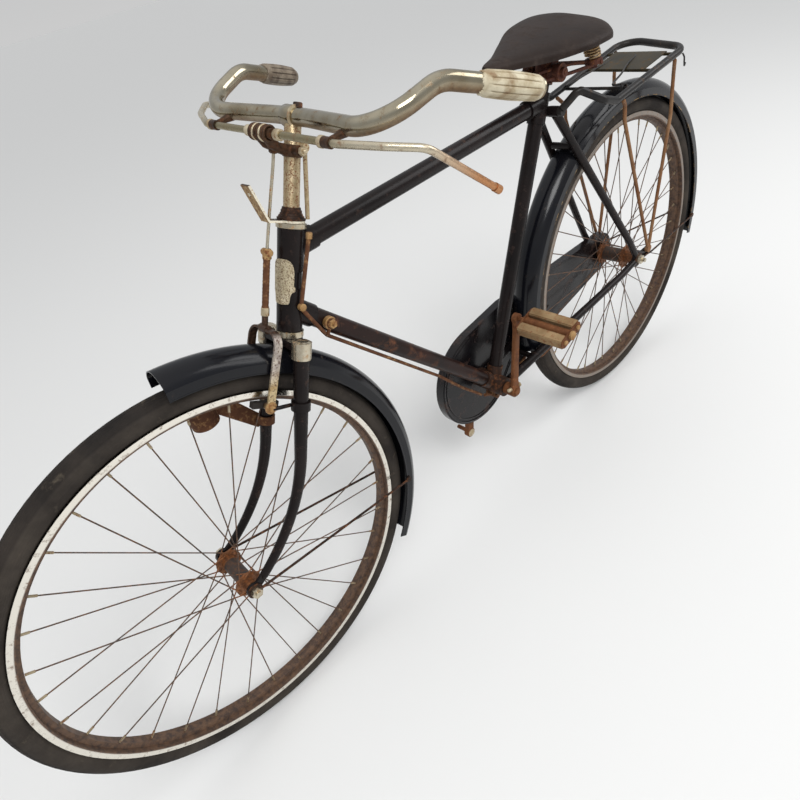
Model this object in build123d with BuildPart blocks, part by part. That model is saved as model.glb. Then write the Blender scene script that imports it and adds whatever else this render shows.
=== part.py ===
import os
from math import atan2, cos, pi, radians, sin, sqrt

from build123d import *

# A gentleman's roadster bicycle with 28 inch wheels, rod brakes, a full chain case and a rear carrier.
# Layout sizes are millimetres: x ahead of the bottom bracket, z above the ground, y to the bicycle's left.

# Wheels
tyre_radius = 356.0
front_tyre_half_width = 19.0
rear_tyre_half_width = 22.0
rim_edge_radius = 322.5
rim_half_width = 17.0
rim_wall = 1.8
rim_floor_radius = 318.0
rim_flat_radius = 312.0
rim_well_radius = 305.0
tyre_section_height = 38.0

# Frame layout
front_centre = 650.0
chain_stay_length = 501.0
bracket_height = 296.0
head_angle = 65.5
seat_angle = 65.5
fork_rake = 90.0

# Frame tubes
top_tube_radius = 14.3
down_tube_radius = 15.0
seat_tube_radius = 14.3
tube_wall = 1.6
lug_wall = 2.6
lug_length = 40.0
socket_depth = 16.0
braze_gap = 0.1
head_tube_radius = 17.0
head_tube_low = 402.0
head_tube_high = 546.0
head_tube_bore = 14.5
top_tube_drop = 28.5
down_tube_rise = 32.0
seat_lug_height = 559.0
seat_top_drop = 12.0
bracket_shell_radius = 21.0
bracket_shell_length = 76.0
chain_stay_radius = 10.0
chain_stay_tip_radius = 8.0
seat_stay_radius = 8.6
stay_start = 30.0
fork_end_inside = 58.0
fork_end_thickness = 5.0
fork_end_radius = 19.0

# Steering
steerer_radius = 12.7
crown_low = 370.0
crown_high = 392.7
blade_ahead = 9.0
blade_top_spread = 46.0
blade_tip_spread = 51.0
blade_radius = 12.0
blade_middle_radius = 9.5
blade_tip_radius = 7.0
blade_bend_start = 210.0
fork_tip_reach = 28.0
cup_radius = 21.0
stem_radius = 11.1
bar_height = 683.0
bar_radius = 11.0
bar_tilt = -2.4
bar_turn = 2.2
grip_radius = 17.0
grip_inner_radius = 13.5
grip_end_radius = 15.0
grip_length = 98.0

# Axles, cranks and pedals
axle_radius = 4.8
bracket_axle_radius = 8.0
running_gap = 0.1
crank_length = 168.0
crank_angle = 101.0
left_crank_y = 62.5
right_crank_y = 70.0
crank_thickness = 12.0
pedal_length = 111.0
pedal_pitch = 15.0

# Mudguards
guard_radius = 388.0
guard_skirt_radius = 353.0
guard_half_width = 30.0
guard_wall = 1.6

# Chain case
case_inner_y = 38.3
case_outer_y = 57.0
case_front_radius = 118.0
case_rear_radius = 47.0

# Saddle
saddle_x = -268.0
saddle_z = 901.5
saddle_wall = 4.5

# General clearances
seat_gap = 0.3
moving_gap = 5.0

os.makedirs("parts", exist_ok=True)


def at(x, z, y=0.0):
    """Point of the layout, measured from the top of the saddle."""
    return Vector(x - saddle_x, y, z - saddle_z)


def side_plane(y):
    """Side view at y: its local x points ahead and its local y points up."""
    return Plane(origin=at(0, 0, y), x_dir=(1, 0, 0), z_dir=(0, -1, 0))


rear_axle_x = -sqrt(chain_stay_length**2 - (tyre_radius - bracket_height) ** 2)
front_axle = at(front_centre, tyre_radius)
rear_axle = at(rear_axle_x, tyre_radius)
bracket = at(0, bracket_height)
across = Vector(0, 1, 0)

# The head plane stands on the steering axis: local x ahead of it, local y to the left, local z up along it.
head_up = Vector(-cos(radians(head_angle)), 0, sin(radians(head_angle)))
head_ahead = Vector(sin(radians(head_angle)), 0, cos(radians(head_angle)))
head = Plane(origin=front_axle - head_ahead * fork_rake, x_dir=head_ahead, z_dir=head_up)
seat_up = Vector(-cos(radians(seat_angle)), 0, sin(radians(seat_angle)))


def steer(ahead, y, height):
    """Point of the steering, by its place ahead of, beside and up the steering axis."""
    return head.from_local_coords(Vector(ahead, y, height))


def seat_point(height, y=0.0):
    """Point on the seat tube's axis, by its distance from the bottom bracket."""
    return bracket + seat_up * height + across * y


def bar(start, end, radius, end_radius=None, mode=Mode.ADD):
    """Round bar from start to end, tapered where its two radii differ."""
    length = (end - start).length
    with BuildSketch(Plane(origin=start, z_dir=end - start)) as near:
        Circle(radius)
    if end_radius is None:
        extrude(near.sketch, amount=length, mode=mode)
        return
    with BuildSketch(Plane(origin=start, z_dir=end - start).offset(length)) as far:
        Circle(end_radius)
    loft([near.sketch, far.sketch], mode=mode)


def hollow(start, end, radius, wall):
    """Round tube from start to end."""
    with BuildSketch(Plane(origin=start, z_dir=end - start)) as ring:
        Circle(radius)
        Circle(radius - wall, mode=Mode.SUBTRACT)
    extrude(ring.sketch, amount=(end - start).length)


def wire(points, bends, radius, mode=Mode.ADD):
    """Bent round bar through points, with one bend radius for each inner point."""
    with BuildLine() as path:
        FilletPolyline(*points, radius=bends)
    with BuildSketch(Plane(origin=path.line @ 0, z_dir=path.line % 0)) as ring:
        Circle(radius)
    sweep(ring.sketch, path=path.line, mode=mode)


def strip(points, bends, wide, thick, width_way):
    """Bent flat bar through points, its width along width_way."""
    with BuildLine() as path:
        FilletPolyline(*points, radius=bends)
    with BuildSketch(Plane(origin=path.line @ 0, x_dir=width_way, z_dir=path.line % 0)) as flat:
        Rectangle(wide, thick)
    sweep(flat.sketch, path=path.line)


def socket(joint, towards, tube_radius):
    """Lug sleeve from a joint along a tube, bored for the tube's end."""
    way = (towards - joint).normalized()
    bar(joint, joint + way * lug_length, tube_radius + lug_wall)


def socket_bore(joint, towards, tube_radius):
    """Hole in a lug sleeve that takes the tube's end."""
    way = (towards - joint).normalized()
    mouth = joint + way * (lug_length + 1)
    bar(joint + way * (lug_length - socket_depth), mouth, tube_radius + braze_gap, mode=Mode.SUBTRACT)


def socketed(joint, towards):
    """Where a tube starts, just clear of the bottom of its lug's socket."""
    way = (towards - joint).normalized()
    return joint + way * (lug_length - socket_depth + braze_gap)


def finish(piece, label):
    """Name a finished piece and write it."""
    piece.part.label = label
    export_step(piece.part, f"parts/{label}.step")


# Joints of the frame's tubes on the head axis and the seat axis
top_head = steer(0, 0, head_tube_high - top_tube_drop)
down_head = steer(0, 0, head_tube_low + down_tube_rise)
top_seat = seat_point(seat_lug_height - seat_top_drop)
stay_eye = seat_point(seat_lug_height - 22) + seat_up.cross(across) * 22

# Head tube with its two lugs
lug_bands = ((head_tube_low, 62.0), (head_tube_high - 58.0, 58.0))
with BuildPart() as head_tube:
    bar(steer(0, 0, head_tube_low), steer(0, 0, head_tube_high), head_tube_radius)
    for low, tall in lug_bands:
        bar(steer(0, 0, low), steer(0, 0, low + tall), head_tube_radius + lug_wall * 0.7)
    socket(top_head, top_seat, top_tube_radius)
    socket(down_head, bracket, down_tube_radius)
    socket_bore(top_head, top_seat, top_tube_radius)
    socket_bore(down_head, bracket, down_tube_radius)
    bar(steer(0, 0, head_tube_low - 1), steer(0, 0, head_tube_high + 1), head_tube_bore, mode=Mode.SUBTRACT)
finish(head_tube, "head_tube")

# Bearing cups pressed into the two ends of the head tube
cup_bands = ((head_tube_low - 9.0, 9.0), (head_tube_high, 7.0))
with BuildPart() as head_cups:
    for low, tall in cup_bands:
        bar(steer(0, 0, low + seat_gap), steer(0, 0, low + tall - seat_gap), cup_radius)
        bar(steer(0, 0, low - 1), steer(0, 0, low + tall + 1), steerer_radius + running_gap,
            mode=Mode.SUBTRACT)
finish(head_cups, "head_cups")

with BuildPart() as top_tube:
    hollow(socketed(top_head, top_seat), socketed(top_seat, top_head), top_tube_radius, tube_wall)
finish(top_tube, "top_tube")

with BuildPart() as down_tube:
    hollow(socketed(down_head, bracket), socketed(bracket, down_head), down_tube_radius, tube_wall)
finish(down_tube, "down_tube")

# The seat tube runs from the bottom bracket's socket to the seat lug's socket
seat_lug_low = seat_lug_height - 46.0
with BuildPart() as seat_tube:
    hollow(socketed(bracket, top_seat), seat_point(seat_lug_low + socket_depth), seat_tube_radius, tube_wall)
finish(seat_tube, "seat_tube")

# Seat lug with the top tube's socket, the post's collar and the eyes for the seat stays' bolt
seat_post_radius = 12.7
stay_top_y = 21.5
stay_eye_y = stay_top_y - seat_stay_radius - seat_gap
stay_bolt_y = stay_top_y + seat_stay_radius + seat_gap
with BuildPart() as seat_lug:
    bar(seat_point(seat_lug_low), seat_point(seat_lug_height + 6), seat_tube_radius + lug_wall)
    socket(top_seat, top_head, top_tube_radius)
    bar(stay_eye - across * stay_eye_y, stay_eye + across * stay_eye_y, 9.0)
    socket_bore(top_seat, top_head, top_tube_radius)
    bar(seat_point(seat_lug_low - 1), seat_point(seat_lug_low + socket_depth + braze_gap),
        seat_tube_radius + braze_gap, mode=Mode.SUBTRACT)
    bar(seat_point(seat_lug_low), seat_point(seat_lug_height + 7), seat_post_radius + braze_gap,
        mode=Mode.SUBTRACT)
finish(seat_lug, "seat_lug")

# Bottom bracket shell with sockets for the two main tubes
half_shell = bracket_shell_length / 2
with BuildPart() as bottom_bracket:
    bar(bracket - across * half_shell, bracket + across * half_shell, bracket_shell_radius)
    socket(bracket, down_head, down_tube_radius)
    socket(bracket, top_seat, seat_tube_radius)
    socket_bore(bracket, down_head, down_tube_radius)
    socket_bore(bracket, top_seat, seat_tube_radius)
    bar(bracket - across * (half_shell + 1), bracket + across * (half_shell + 1),
        bracket_axle_radius + running_gap, mode=Mode.SUBTRACT)
finish(bottom_bracket, "bottom_bracket")

# Chain stays with the fork ends that hold the rear axle
fork_end_y = fork_end_inside + fork_end_thickness / 2
stay_front_x = -bracket_shell_radius - 2.0
axle_slot_length = 34.0
axle_slot_half = axle_radius + 0.2
fork_tail_length = 50.0
fork_tail_half = 12.0


def chain_stay_line(sign):
    """Start, knee and end of one chain stay."""
    start = at(stay_front_x, bracket_height + 2, sign * stay_start)
    end_y = sign * fork_end_y
    knee = at(rear_axle_x + 70, tyre_radius - 9, end_y)
    return start, knee, rear_axle + across * end_y


with BuildPart() as chain_stays:
    for sign in (1, -1):
        start, knee, tip = chain_stay_line(sign)
        bar(start, knee, chain_stay_radius, chain_stay_tip_radius)
        with Locations(knee):
            Sphere(chain_stay_tip_radius)
        bar(knee, tip - (tip - knee).normalized() * (fork_end_radius - 2), chain_stay_tip_radius)
        with BuildSketch(side_plane(sign * fork_end_y)):
            with Locations((rear_axle_x, tyre_radius)):
                Circle(fork_end_radius)
            with Locations((rear_axle_x - fork_tail_length / 2, tyre_radius)):
                Rectangle(fork_tail_length, 2 * fork_tail_half)
            with Locations((rear_axle_x - 6, tyre_radius)):
                SlotOverall(axle_slot_length, 2 * axle_slot_half, mode=Mode.SUBTRACT)
        extrude(amount=fork_end_thickness / 2, both=True)
finish(chain_stays, "chain_stays")

# Seat stays, bolted to the seat lug and brazed to the fork ends
stay_way = (stay_eye - rear_axle).normalized()
stay_low = rear_axle + stay_way * (fork_end_radius + seat_gap)
stay_knee = rear_axle + stay_way * 70.0


def seat_stay_line(sign):
    """Low end, knee and top of one seat stay."""
    low = stay_low + across * sign * fork_end_y
    knee = stay_knee + across * sign * fork_end_y
    return low, knee, stay_eye + across * sign * stay_top_y - stay_way * 8


with BuildPart() as seat_stays:
    for sign in (1, -1):
        low, knee, top = seat_stay_line(sign)
        bar(low, knee, seat_stay_radius - 1)
        with Locations(knee):
            Sphere(seat_stay_radius - 1)
        bar(knee, top, seat_stay_radius - 1, seat_stay_radius)
        eye = across * sign
        bar(stay_eye + eye * (stay_eye_y + seat_gap), stay_eye + eye * stay_bolt_y, 9.5)
finish(seat_stays, "seat_stays")

# Bridges between the stays, with the mudguard's bolts
bridge_radius = 6.5
bridge_reach = guard_radius + 9.0
stay_share = (bridge_reach - 70.0) / ((stay_eye - rear_axle).length - 70.0)
bridge_y = fork_end_y + (stay_top_y - fork_end_y) * stay_share
seat_bridge = rear_axle + stay_way * bridge_reach
chain_bridge_reach = guard_radius + seat_gap + bridge_radius
rear_guard_start = -7.2
rear_guard_end = 196.0
chain_bridge = rear_axle + Vector(cos(radians(rear_guard_start)), 0, sin(radians(rear_guard_start))) * (
    chain_bridge_reach)
with BuildPart() as stay_bridges:
    reach = bridge_y - seat_stay_radius - 1.4
    bar(seat_bridge - across * reach, seat_bridge + across * reach, bridge_radius)
    bar(chain_bridge - across * 25.8, chain_bridge + across * 25.8, bridge_radius)
finish(stay_bridges, "stay_bridges")

# Saddle wires from the nose to the clip and back to the springs
nose_x = -84.0
saddle_rear_x = -358.0
spring_x = -338.0
spring_y = 52.0
spring_low = 838.0
spring_high = 872.0
wire_radius = 3.2
rail_spread = 26.0
wire_pairs = ((7.0, 0.0), (-7.0, 6.0))


cantle_arc = 196.4


def cantle_height(y):
    """Height of the steel strip under the back of the leather, at y from the middle."""
    return 702.5 + sqrt(cantle_arc**2 - y**2)


def saddle_wires(sign):
    """Corner points of the two saddle wires on one side."""
    lines = []
    for lift, spread in wire_pairs:
        y = sign * (rail_spread + spread)
        lines.append([
            at(nose_x - 22, 866 + lift, sign * 5),
            at(-150, 848 + lift, sign * (13 + spread / 2)),
            at(-278, 836 + lift, y + sign * 3),
            at(spring_x, 830 + lift * 0.3, sign * (spring_y + spread)),
        ])
    return lines


# Seat post and the clip that holds the saddle
clip_height = 596.0
with BuildPart() as seat_post:
    bar(seat_point(seat_lug_low + socket_depth + 4), seat_point(clip_height + 14), seat_post_radius)
finish(seat_post, "seat_post")

clip = seat_point(clip_height)
rail_spread = 26.0
with BuildPart() as saddle_clip:
    bar(seat_point(clip_height - 17), seat_point(clip_height + 13), seat_post_radius + 5)
    bar(clip - across * 45, clip + across * 45, 3.4)
    for sign in (1, -1):
        bar(clip + across * sign * 16, clip + across * sign * 38, 15)
        bar(clip + across * sign * 38, clip + across * sign * 44, 8)
        for line in saddle_wires(sign):
            bar(line[1], line[2], wire_radius + braze_gap, mode=Mode.SUBTRACT)
    bar(seat_point(clip_height - 18), seat_point(clip_height + 14.2), seat_post_radius + braze_gap,
        mode=Mode.SUBTRACT)
finish(saddle_clip, "saddle_clip")

with BuildPart() as saddle_rails:
    for sign in (1, -1):
        for line in saddle_wires(sign):
            wire(line, [30, 30], wire_radius)
        bar(at(spring_x, 828, sign * spring_y), at(spring_x, spring_low - seat_gap, sign * spring_y), 16)
    bar(at(nose_x - 24, 857, 0), at(nose_x - 24, 887.4, 0), 7)
    bar(at(spring_x, 831, -spring_y - 12), at(spring_x, 831, spring_y + 12), 3.8)
    with BuildSketch(Plane(origin=at(spring_x - 3, 0), x_dir=(0, 1, 0), z_dir=(1, 0, 0))) as cantle:
        with BuildLine():
            over = ThreePointArc((-78, cantle_height(78)), (0, cantle_height(0)), (78, cantle_height(78)))
            below = ThreePointArc((-78, cantle_height(78) - 4), (0, cantle_height(0) - 4),
                                  (78, cantle_height(78) - 4))
            Line(over @ 0, below @ 0)
            Line(over @ 1, below @ 1)
        make_face()
    extrude(amount=6)
    for sign in (1, -1):
        y = sign * spring_y
        bar(at(spring_x, spring_high + seat_gap, y), at(spring_x, spring_high + 3, y), 15)
        bar(at(spring_x, spring_high + 2, y), at(spring_x, cantle_height(spring_y) - 2, y), 5)
finish(saddle_rails, "saddle_rails")

# Coil springs under the back of the saddle
coil_wire = 2.6
coil_radius = 12.0
coil_turns = 7
with BuildPart() as saddle_springs:
    for sign in (1, -1):
        pitch = (spring_high - spring_low - 2 * coil_wire) / (coil_turns - 1)
        with BuildSketch(Plane(origin=at(spring_x, spring_low, sign * spring_y), x_dir=(1, 0, 0),
                               z_dir=(0, -1, 0))):
            for turn in range(coil_turns):
                with Locations((coil_radius, coil_wire + pitch * turn)):
                    Circle(coil_wire)
            with Locations((coil_radius, (spring_high - spring_low) / 2)):
                Rectangle(coil_wire, spring_high - spring_low - 4)
        revolve(axis=Axis(at(spring_x, spring_low, sign * spring_y), (0, 0, 1)))
finish(saddle_springs, "saddle_springs")

# Leather top: x along the saddle, half width, height of the ridge and height of the lower edge
saddle_sections = (
    (nose_x, 9.0, 890.0, 880.0),
    (-104.0, 19.0, 895.0, 864.0),
    (-190.0, 27.0, 897.0, 856.0),
    (-262.0, 68.0, 901.0, 862.0),
    (-318.0, 100.0, 906.0, 874.0),
    (saddle_rear_x, 88.0, 902.0, 882.0),
)
with BuildPart() as saddle_cover:
    for x, wide, ridge, edge in saddle_sections:
        with BuildSketch(Plane(origin=at(x, 0), x_dir=(0, 1, 0), z_dir=(1, 0, 0))):
            with BuildLine():
                outer = ThreePointArc((-wide, edge), (0, ridge), (wide, edge))
                inner = ThreePointArc((saddle_wall - wide, edge), (0, ridge - saddle_wall),
                                      (wide - saddle_wall, edge))
                Line(outer @ 0, inner @ 0)
                Line(outer @ 1, inner @ 1)
            make_face()
    loft(ruled=True)
finish(saddle_cover, "saddle_cover")


def guard(axle, start, end):
    """Mudguard shell round an axle, from one angle to the other above the forward horizontal."""
    lip = guard_half_width - 4.0
    turned = Plane(origin=axle, x_dir=(0, 1, 0), z_dir=(1, 0, 0)).rotated((0, -start, 0))
    with BuildSketch(turned) as section:
        with BuildLine():
            outer = Polyline((-guard_half_width, guard_skirt_radius), (-guard_half_width, guard_radius - 20))
            arc = ThreePointArc(outer @ 1, (0, guard_radius), (guard_half_width, guard_radius - 20))
            right = Polyline(arc @ 1, (guard_half_width, guard_skirt_radius),
                             (guard_half_width - guard_wall, guard_skirt_radius),
                             (guard_half_width - guard_wall, guard_radius - 20))
            under = ThreePointArc(right @ 1, (0, guard_radius - guard_wall),
                                  (guard_wall - guard_half_width, guard_radius - 20))
            Polyline(under @ 1, (guard_wall - guard_half_width, guard_skirt_radius), outer @ 0)
        make_face()
    revolve(section.sketch, axis=Axis(axle, (0, -1, 0)), revolution_arc=end - start)


front_guard_start = 97.5
front_guard_end = 215.0
with BuildPart() as rear_mudguard:
    guard(rear_axle, rear_guard_start - 90, rear_guard_end - 90)
    for sign in (1, -1):
        low, knee, top = seat_stay_line(sign)
        bar(knee, top, seat_stay_radius + 1.5, mode=Mode.SUBTRACT)
        start, knee, tip = chain_stay_line(sign)
        bar(start, knee, chain_stay_radius + 1.0, mode=Mode.SUBTRACT)
finish(rear_mudguard, "rear_mudguard")

with BuildPart() as front_mudguard:
    guard(front_axle, front_guard_start - 90, front_guard_end - 90)
finish(front_mudguard, "front_mudguard")


def wheel_ring(axle, points):
    """Closed ring round an axle, from the across and outward places of its section's corners."""
    with BuildSketch(Plane(origin=axle, x_dir=(0, 1, 0), z_dir=(1, 0, 0))) as section:
        with BuildLine():
            Polyline(*points, close=True)
        make_face()
    revolve(section.sketch, axis=Axis(axle, (0, 1, 0)))


def rim(axle):
    """Westwood rim: two upright edges, a flat for the brake blocks on each side and a middle well."""
    edge = rim_half_width
    inner = edge - rim_wall
    half = [(inner, rim_floor_radius), (inner, rim_edge_radius), (edge, rim_edge_radius),
            (edge, rim_flat_radius), (8, rim_flat_radius), (6, rim_well_radius)]
    wheel_ring(axle, half + [(-y, radius) for y, radius in reversed(half)])


def tyre(axle, half_width):
    """Tyre with a flat foot that rests in the rim."""
    middle = tyre_radius - tyre_section_height / 2
    foot = rim_floor_radius + seat_gap
    with BuildSketch(Plane(origin=axle, x_dir=(0, 1, 0), z_dir=(1, 0, 0))) as section:
        with Locations((0, middle)):
            Ellipse(half_width, tyre_section_height / 2)
        with Locations((0, foot - 20)):
            Rectangle(4 * half_width, 40, mode=Mode.SUBTRACT)
    revolve(section.sketch, axis=Axis(axle, (0, 1, 0)))


spoke_radius = 1.1
spoke_stagger = 2.5
spoke_crossings = 3


def hub(axle, spokes, flange_y, flange_radius, barrel_radius, half_length):
    """Hub with two flanges and crossed spokes that reach the rim's well."""
    bar(axle - across * half_length, axle + across * half_length, barrel_radius - 3)
    bar(axle - across * flange_y, axle + across * flange_y, barrel_radius)
    for sign in (1, -1):
        bar(axle + across * sign * (flange_y - 1.6), axle + across * sign * (flange_y + 1.6), flange_radius)
    step = 720.0 / spokes
    hole_radius = flange_radius - 4
    for spoke in range(spokes):
        side = 1 if spoke % 2 == 0 else -1
        turn = 1 if (spoke // 2) % 2 == 0 else -1
        hub_angle = radians(step * (spoke // 2) + (step / 2 if side < 0 else 0))
        rim_angle = hub_angle + turn * radians(step * spoke_crossings)
        near = Vector(cos(hub_angle) * hole_radius, side * (flange_y + turn * spoke_stagger),
                      sin(hub_angle) * hole_radius)
        reach = rim_well_radius - seat_gap
        far = Vector(cos(rim_angle) * reach, side * (2.2 + turn * 1.2), sin(rim_angle) * reach)
        way = far - near
        with BuildSketch(Plane(origin=axle + near - way.normalized() * 3, z_dir=way)) as section:
            RegularPolygon(spoke_radius, 6)
        extrude(section.sketch, amount=way.length + 2.5)
        bar(axle + near - across * turn * side * spoke_stagger,
            axle + near + across * turn * side * spoke_radius, 1.8)
    bar(axle - across * (half_length + 1), axle + across * (half_length + 1), axle_radius + running_gap,
        mode=Mode.SUBTRACT)


# Wheels
with BuildPart() as front_tyre:
    tyre(front_axle, front_tyre_half_width)
finish(front_tyre, "front_tyre")

with BuildPart() as rear_tyre:
    tyre(rear_axle, rear_tyre_half_width)
finish(rear_tyre, "rear_tyre")

with BuildPart() as front_rim:
    rim(front_axle)
finish(front_rim, "front_rim")

with BuildPart() as rear_rim:
    rim(rear_axle)
finish(rear_rim, "rear_rim")

front_spokes = 32
front_flange_y = 33.0
front_flange_radius = 22.0
front_hub_half = 44.0
rear_spokes = 40
rear_flange_y = 29.0
rear_flange_radius = 27.0
rear_hub_half = 54.0
with BuildPart() as front_hub:
    hub(front_axle, front_spokes, front_flange_y, front_flange_radius, 13.0, front_hub_half)
finish(front_hub, "front_hub")

with BuildPart() as rear_hub:
    hub(rear_axle, rear_spokes, rear_flange_y, rear_flange_radius, 17.0, rear_hub_half)
finish(rear_hub, "rear_hub")

# Axles with their cones and nuts
fork_tip_y = blade_tip_spread + 2.5
front_nut_y = fork_tip_y + 2.4
with BuildPart() as front_axle_set:
    bar(front_axle - across * 66, front_axle + across * 66, axle_radius)
    for sign in (1, -1):
        side = across * sign
        bar(front_axle + side * (front_hub_half + seat_gap),
            front_axle + side * (blade_tip_spread - 2.5 - seat_gap), 8)
        with BuildSketch(Plane(origin=front_axle + side * front_nut_y, x_dir=(1, 0, 0),
                               z_dir=side)) as section:
            RegularPolygon(9, 6)
        extrude(section.sketch, amount=8)
finish(front_axle_set, "front_axle")

rear_nut_y = fork_end_y + fork_end_thickness / 2 + 2.4
with BuildPart() as rear_axle_set:
    bar(rear_axle - across * 82, rear_axle + across * 82, axle_radius)
    for sign in (1, -1):
        side = across * sign
        bar(rear_axle + side * (rear_hub_half + seat_gap),
            rear_axle + side * (fork_end_inside - seat_gap), 9)
        with BuildSketch(Plane(origin=rear_axle + side * rear_nut_y, x_dir=(1, 0, 0),
                               z_dir=side)) as section:
            RegularPolygon(10.5, 6)
        extrude(section.sketch, amount=9)
finish(rear_axle_set, "rear_axle")

# Fork crown with the steerer
stem_bore_low = 480.0
steerer_top = 562.0
with BuildPart() as fork_crown:
    bar(steer(0, 0, crown_low), steer(0, 0, steerer_top), steerer_radius)
    with BuildSketch(head.offset(crown_low)):
        Circle(20)
        with Locations((blade_ahead, blade_top_spread), (blade_ahead, -blade_top_spread)):
            Circle(13)
        with Locations((blade_ahead, 0)):
            Rectangle(20, 2 * blade_top_spread)
    extrude(amount=crown_high - crown_low)
    bar(front_axle - across * 33, front_axle + across * 33, guard_radius + seat_gap, mode=Mode.SUBTRACT)
    bar(steer(0, 0, stem_bore_low), steer(0, 0, steerer_top + 1), stem_radius + braze_gap,
        mode=Mode.SUBTRACT)
finish(fork_crown, "fork_crown")

cap_radius = 14.3
with BuildPart() as crown_caps:
    for sign in (1, -1):
        y = sign * blade_top_spread
        bar(steer(blade_ahead, y, crown_low + 2), steer(blade_ahead, y, crown_high + 4), cap_radius)
        bar(steer(blade_ahead, y, crown_high + 4), steer(blade_ahead, y, crown_high + 6), cap_radius, 10)
        bar(steer(blade_ahead, y, crown_low), steer(blade_ahead, y, crown_high + seat_gap),
            13 + braze_gap, mode=Mode.SUBTRACT)
    with BuildSketch(head.offset(crown_low)):
        with Locations((blade_ahead, 0)):
            Rectangle(20 + 2 * seat_gap, 2 * blade_top_spread)
    extrude(amount=crown_high - crown_low + seat_gap, mode=Mode.SUBTRACT)
finish(crown_caps, "crown_caps")


def fork_blade(sign):
    """Fork blade: a tapered straight above a curved and tapered tip with the axle's eye."""
    y = sign * blade_tip_spread
    bend = ((fork_rake - blade_ahead) ** 2 + blade_bend_start**2) / (2 * (fork_rake - blade_ahead))
    bar(steer(blade_ahead, sign * blade_top_spread, crown_low - 2.5 * seat_gap),
        steer(blade_ahead, y, blade_bend_start), blade_radius, blade_middle_radius)
    with Locations(steer(blade_ahead, y, blade_bend_start)):
        Sphere(blade_middle_radius)
    sweep_angle = atan2(blade_bend_start, bend - fork_rake + blade_ahead)
    end_angle = sweep_angle - fork_tip_reach / bend
    points = []
    for share in (0.0, 0.5, 1.0):
        turn = end_angle * share
        points.append(steer(blade_ahead + bend * (1 - cos(turn)), y, blade_bend_start - bend * sin(turn)))
    with BuildLine() as path:
        ThreePointArc(*points)
    with BuildSketch(Plane(origin=path.line @ 0, z_dir=path.line % 0)) as near:
        Circle(blade_middle_radius)
    with BuildSketch(Plane(origin=path.line @ 1, z_dir=path.line % 1)) as far:
        Circle(blade_tip_radius)
    sweep([near.sketch, far.sketch], path=path.line, multisection=True)
    with Locations(points[2]):
        Sphere(blade_tip_radius)
    tip = Plane(origin=front_axle + across * y, x_dir=points[2] - front_axle - across * y, z_dir=(0, 1, 0))
    with BuildSketch(tip) as eye:
        Circle(13)
        with Locations((fork_tip_reach / 2, 0)):
            Rectangle(fork_tip_reach, 13)
        Circle(axle_radius + braze_gap, mode=Mode.SUBTRACT)
    extrude(eye.sketch, amount=2.5, both=True)


with BuildPart() as fork_blade_left:
    fork_blade(1)
finish(fork_blade_left, "fork_blade_left")

with BuildPart() as fork_blade_right:
    fork_blade(-1)
finish(fork_blade_right, "fork_blade_right")

# Front brake rod's two ends, beside the lamp bracket's middle
rod_radius = 3.0
rod_high = (26.0, -4.0, 636.0)
rod_low = (35.0, -4.0, 513.0)

# Lamp bracket and the nut that locks it on the head
bracket_low = head_tube_high + 7.2
bracket_thick = 3.0
with BuildPart() as lamp_bracket:
    with BuildSketch(head.offset(bracket_low)):
        Circle(19)
    extrude(amount=bracket_thick)
    with BuildSketch(Plane(origin=steer(0, 0, 0), x_dir=head_ahead, z_dir=(0, -1, 0))):
        with BuildLine():
            Polyline((10, bracket_low), (40, bracket_low), (70, 597), (67, 598.5), (38.5, bracket_low + 3),
                     (10, bracket_low + 3), close=True)
        make_face()
    extrude(amount=10, both=True)
    slope = (steer(70, 0, 597) - steer(40, 0, bracket_low)).normalized()
    lamp_hole = steer(40, 0, bracket_low) + slope * 40
    bar(lamp_hole - slope.cross(across) * 12, lamp_hole + slope.cross(across) * 12, 3.0, mode=Mode.SUBTRACT)
    bar(steer(0, 0, bracket_low - 1), steer(0, 0, bracket_low + 4), steerer_radius + running_gap,
        mode=Mode.SUBTRACT)
    bar(steer(*rod_high), steer(*rod_low), rod_radius + 1, mode=Mode.SUBTRACT)
finish(lamp_bracket, "lamp_bracket")

nut_low = bracket_low + bracket_thick + seat_gap
with BuildPart() as headset_nut:
    with BuildSketch(head.offset(nut_low)):
        RegularPolygon(20, 8)
    extrude(amount=9.0)
    bar(steer(0, 0, nut_low - 1), steer(0, 0, nut_low + 10), steerer_radius + running_gap,
        mode=Mode.SUBTRACT)
finish(headset_nut, "headset_nut")

# Handlebar stem: its column stands in the steerer, its head is split round the bar
stem_foot = stem_bore_low + 4
stem_head_radius = 15.0
bar_centre = steer(0, 0, bar_height)


def askew(point):
    """Place of a handlebar point, as the bar stands tilted and turned in the stem."""
    tilted = (point - bar_centre).rotate(Axis(bar_centre, head_ahead), bar_tilt)
    return bar_centre + tilted.rotate(Axis(bar_centre, head_up), bar_turn)


bar_across = askew(bar_centre + across) - bar_centre
bar_ahead = askew(bar_centre + head_ahead) - bar_centre
with BuildPart() as stem:
    bar(steer(0, 0, stem_foot), bar_centre, stem_radius)
    bar(bar_centre - bar_across * 16, bar_centre + bar_across * 16, stem_head_radius)
    bar(steer(-7, 0, bar_height + 8), steer(-7, 0, bar_height + 16), 6.5)
    bar(bar_centre - bar_across * 18, bar_centre + bar_across * 18, bar_radius + 0.9, mode=Mode.SUBTRACT)
finish(stem, "stem")

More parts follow.
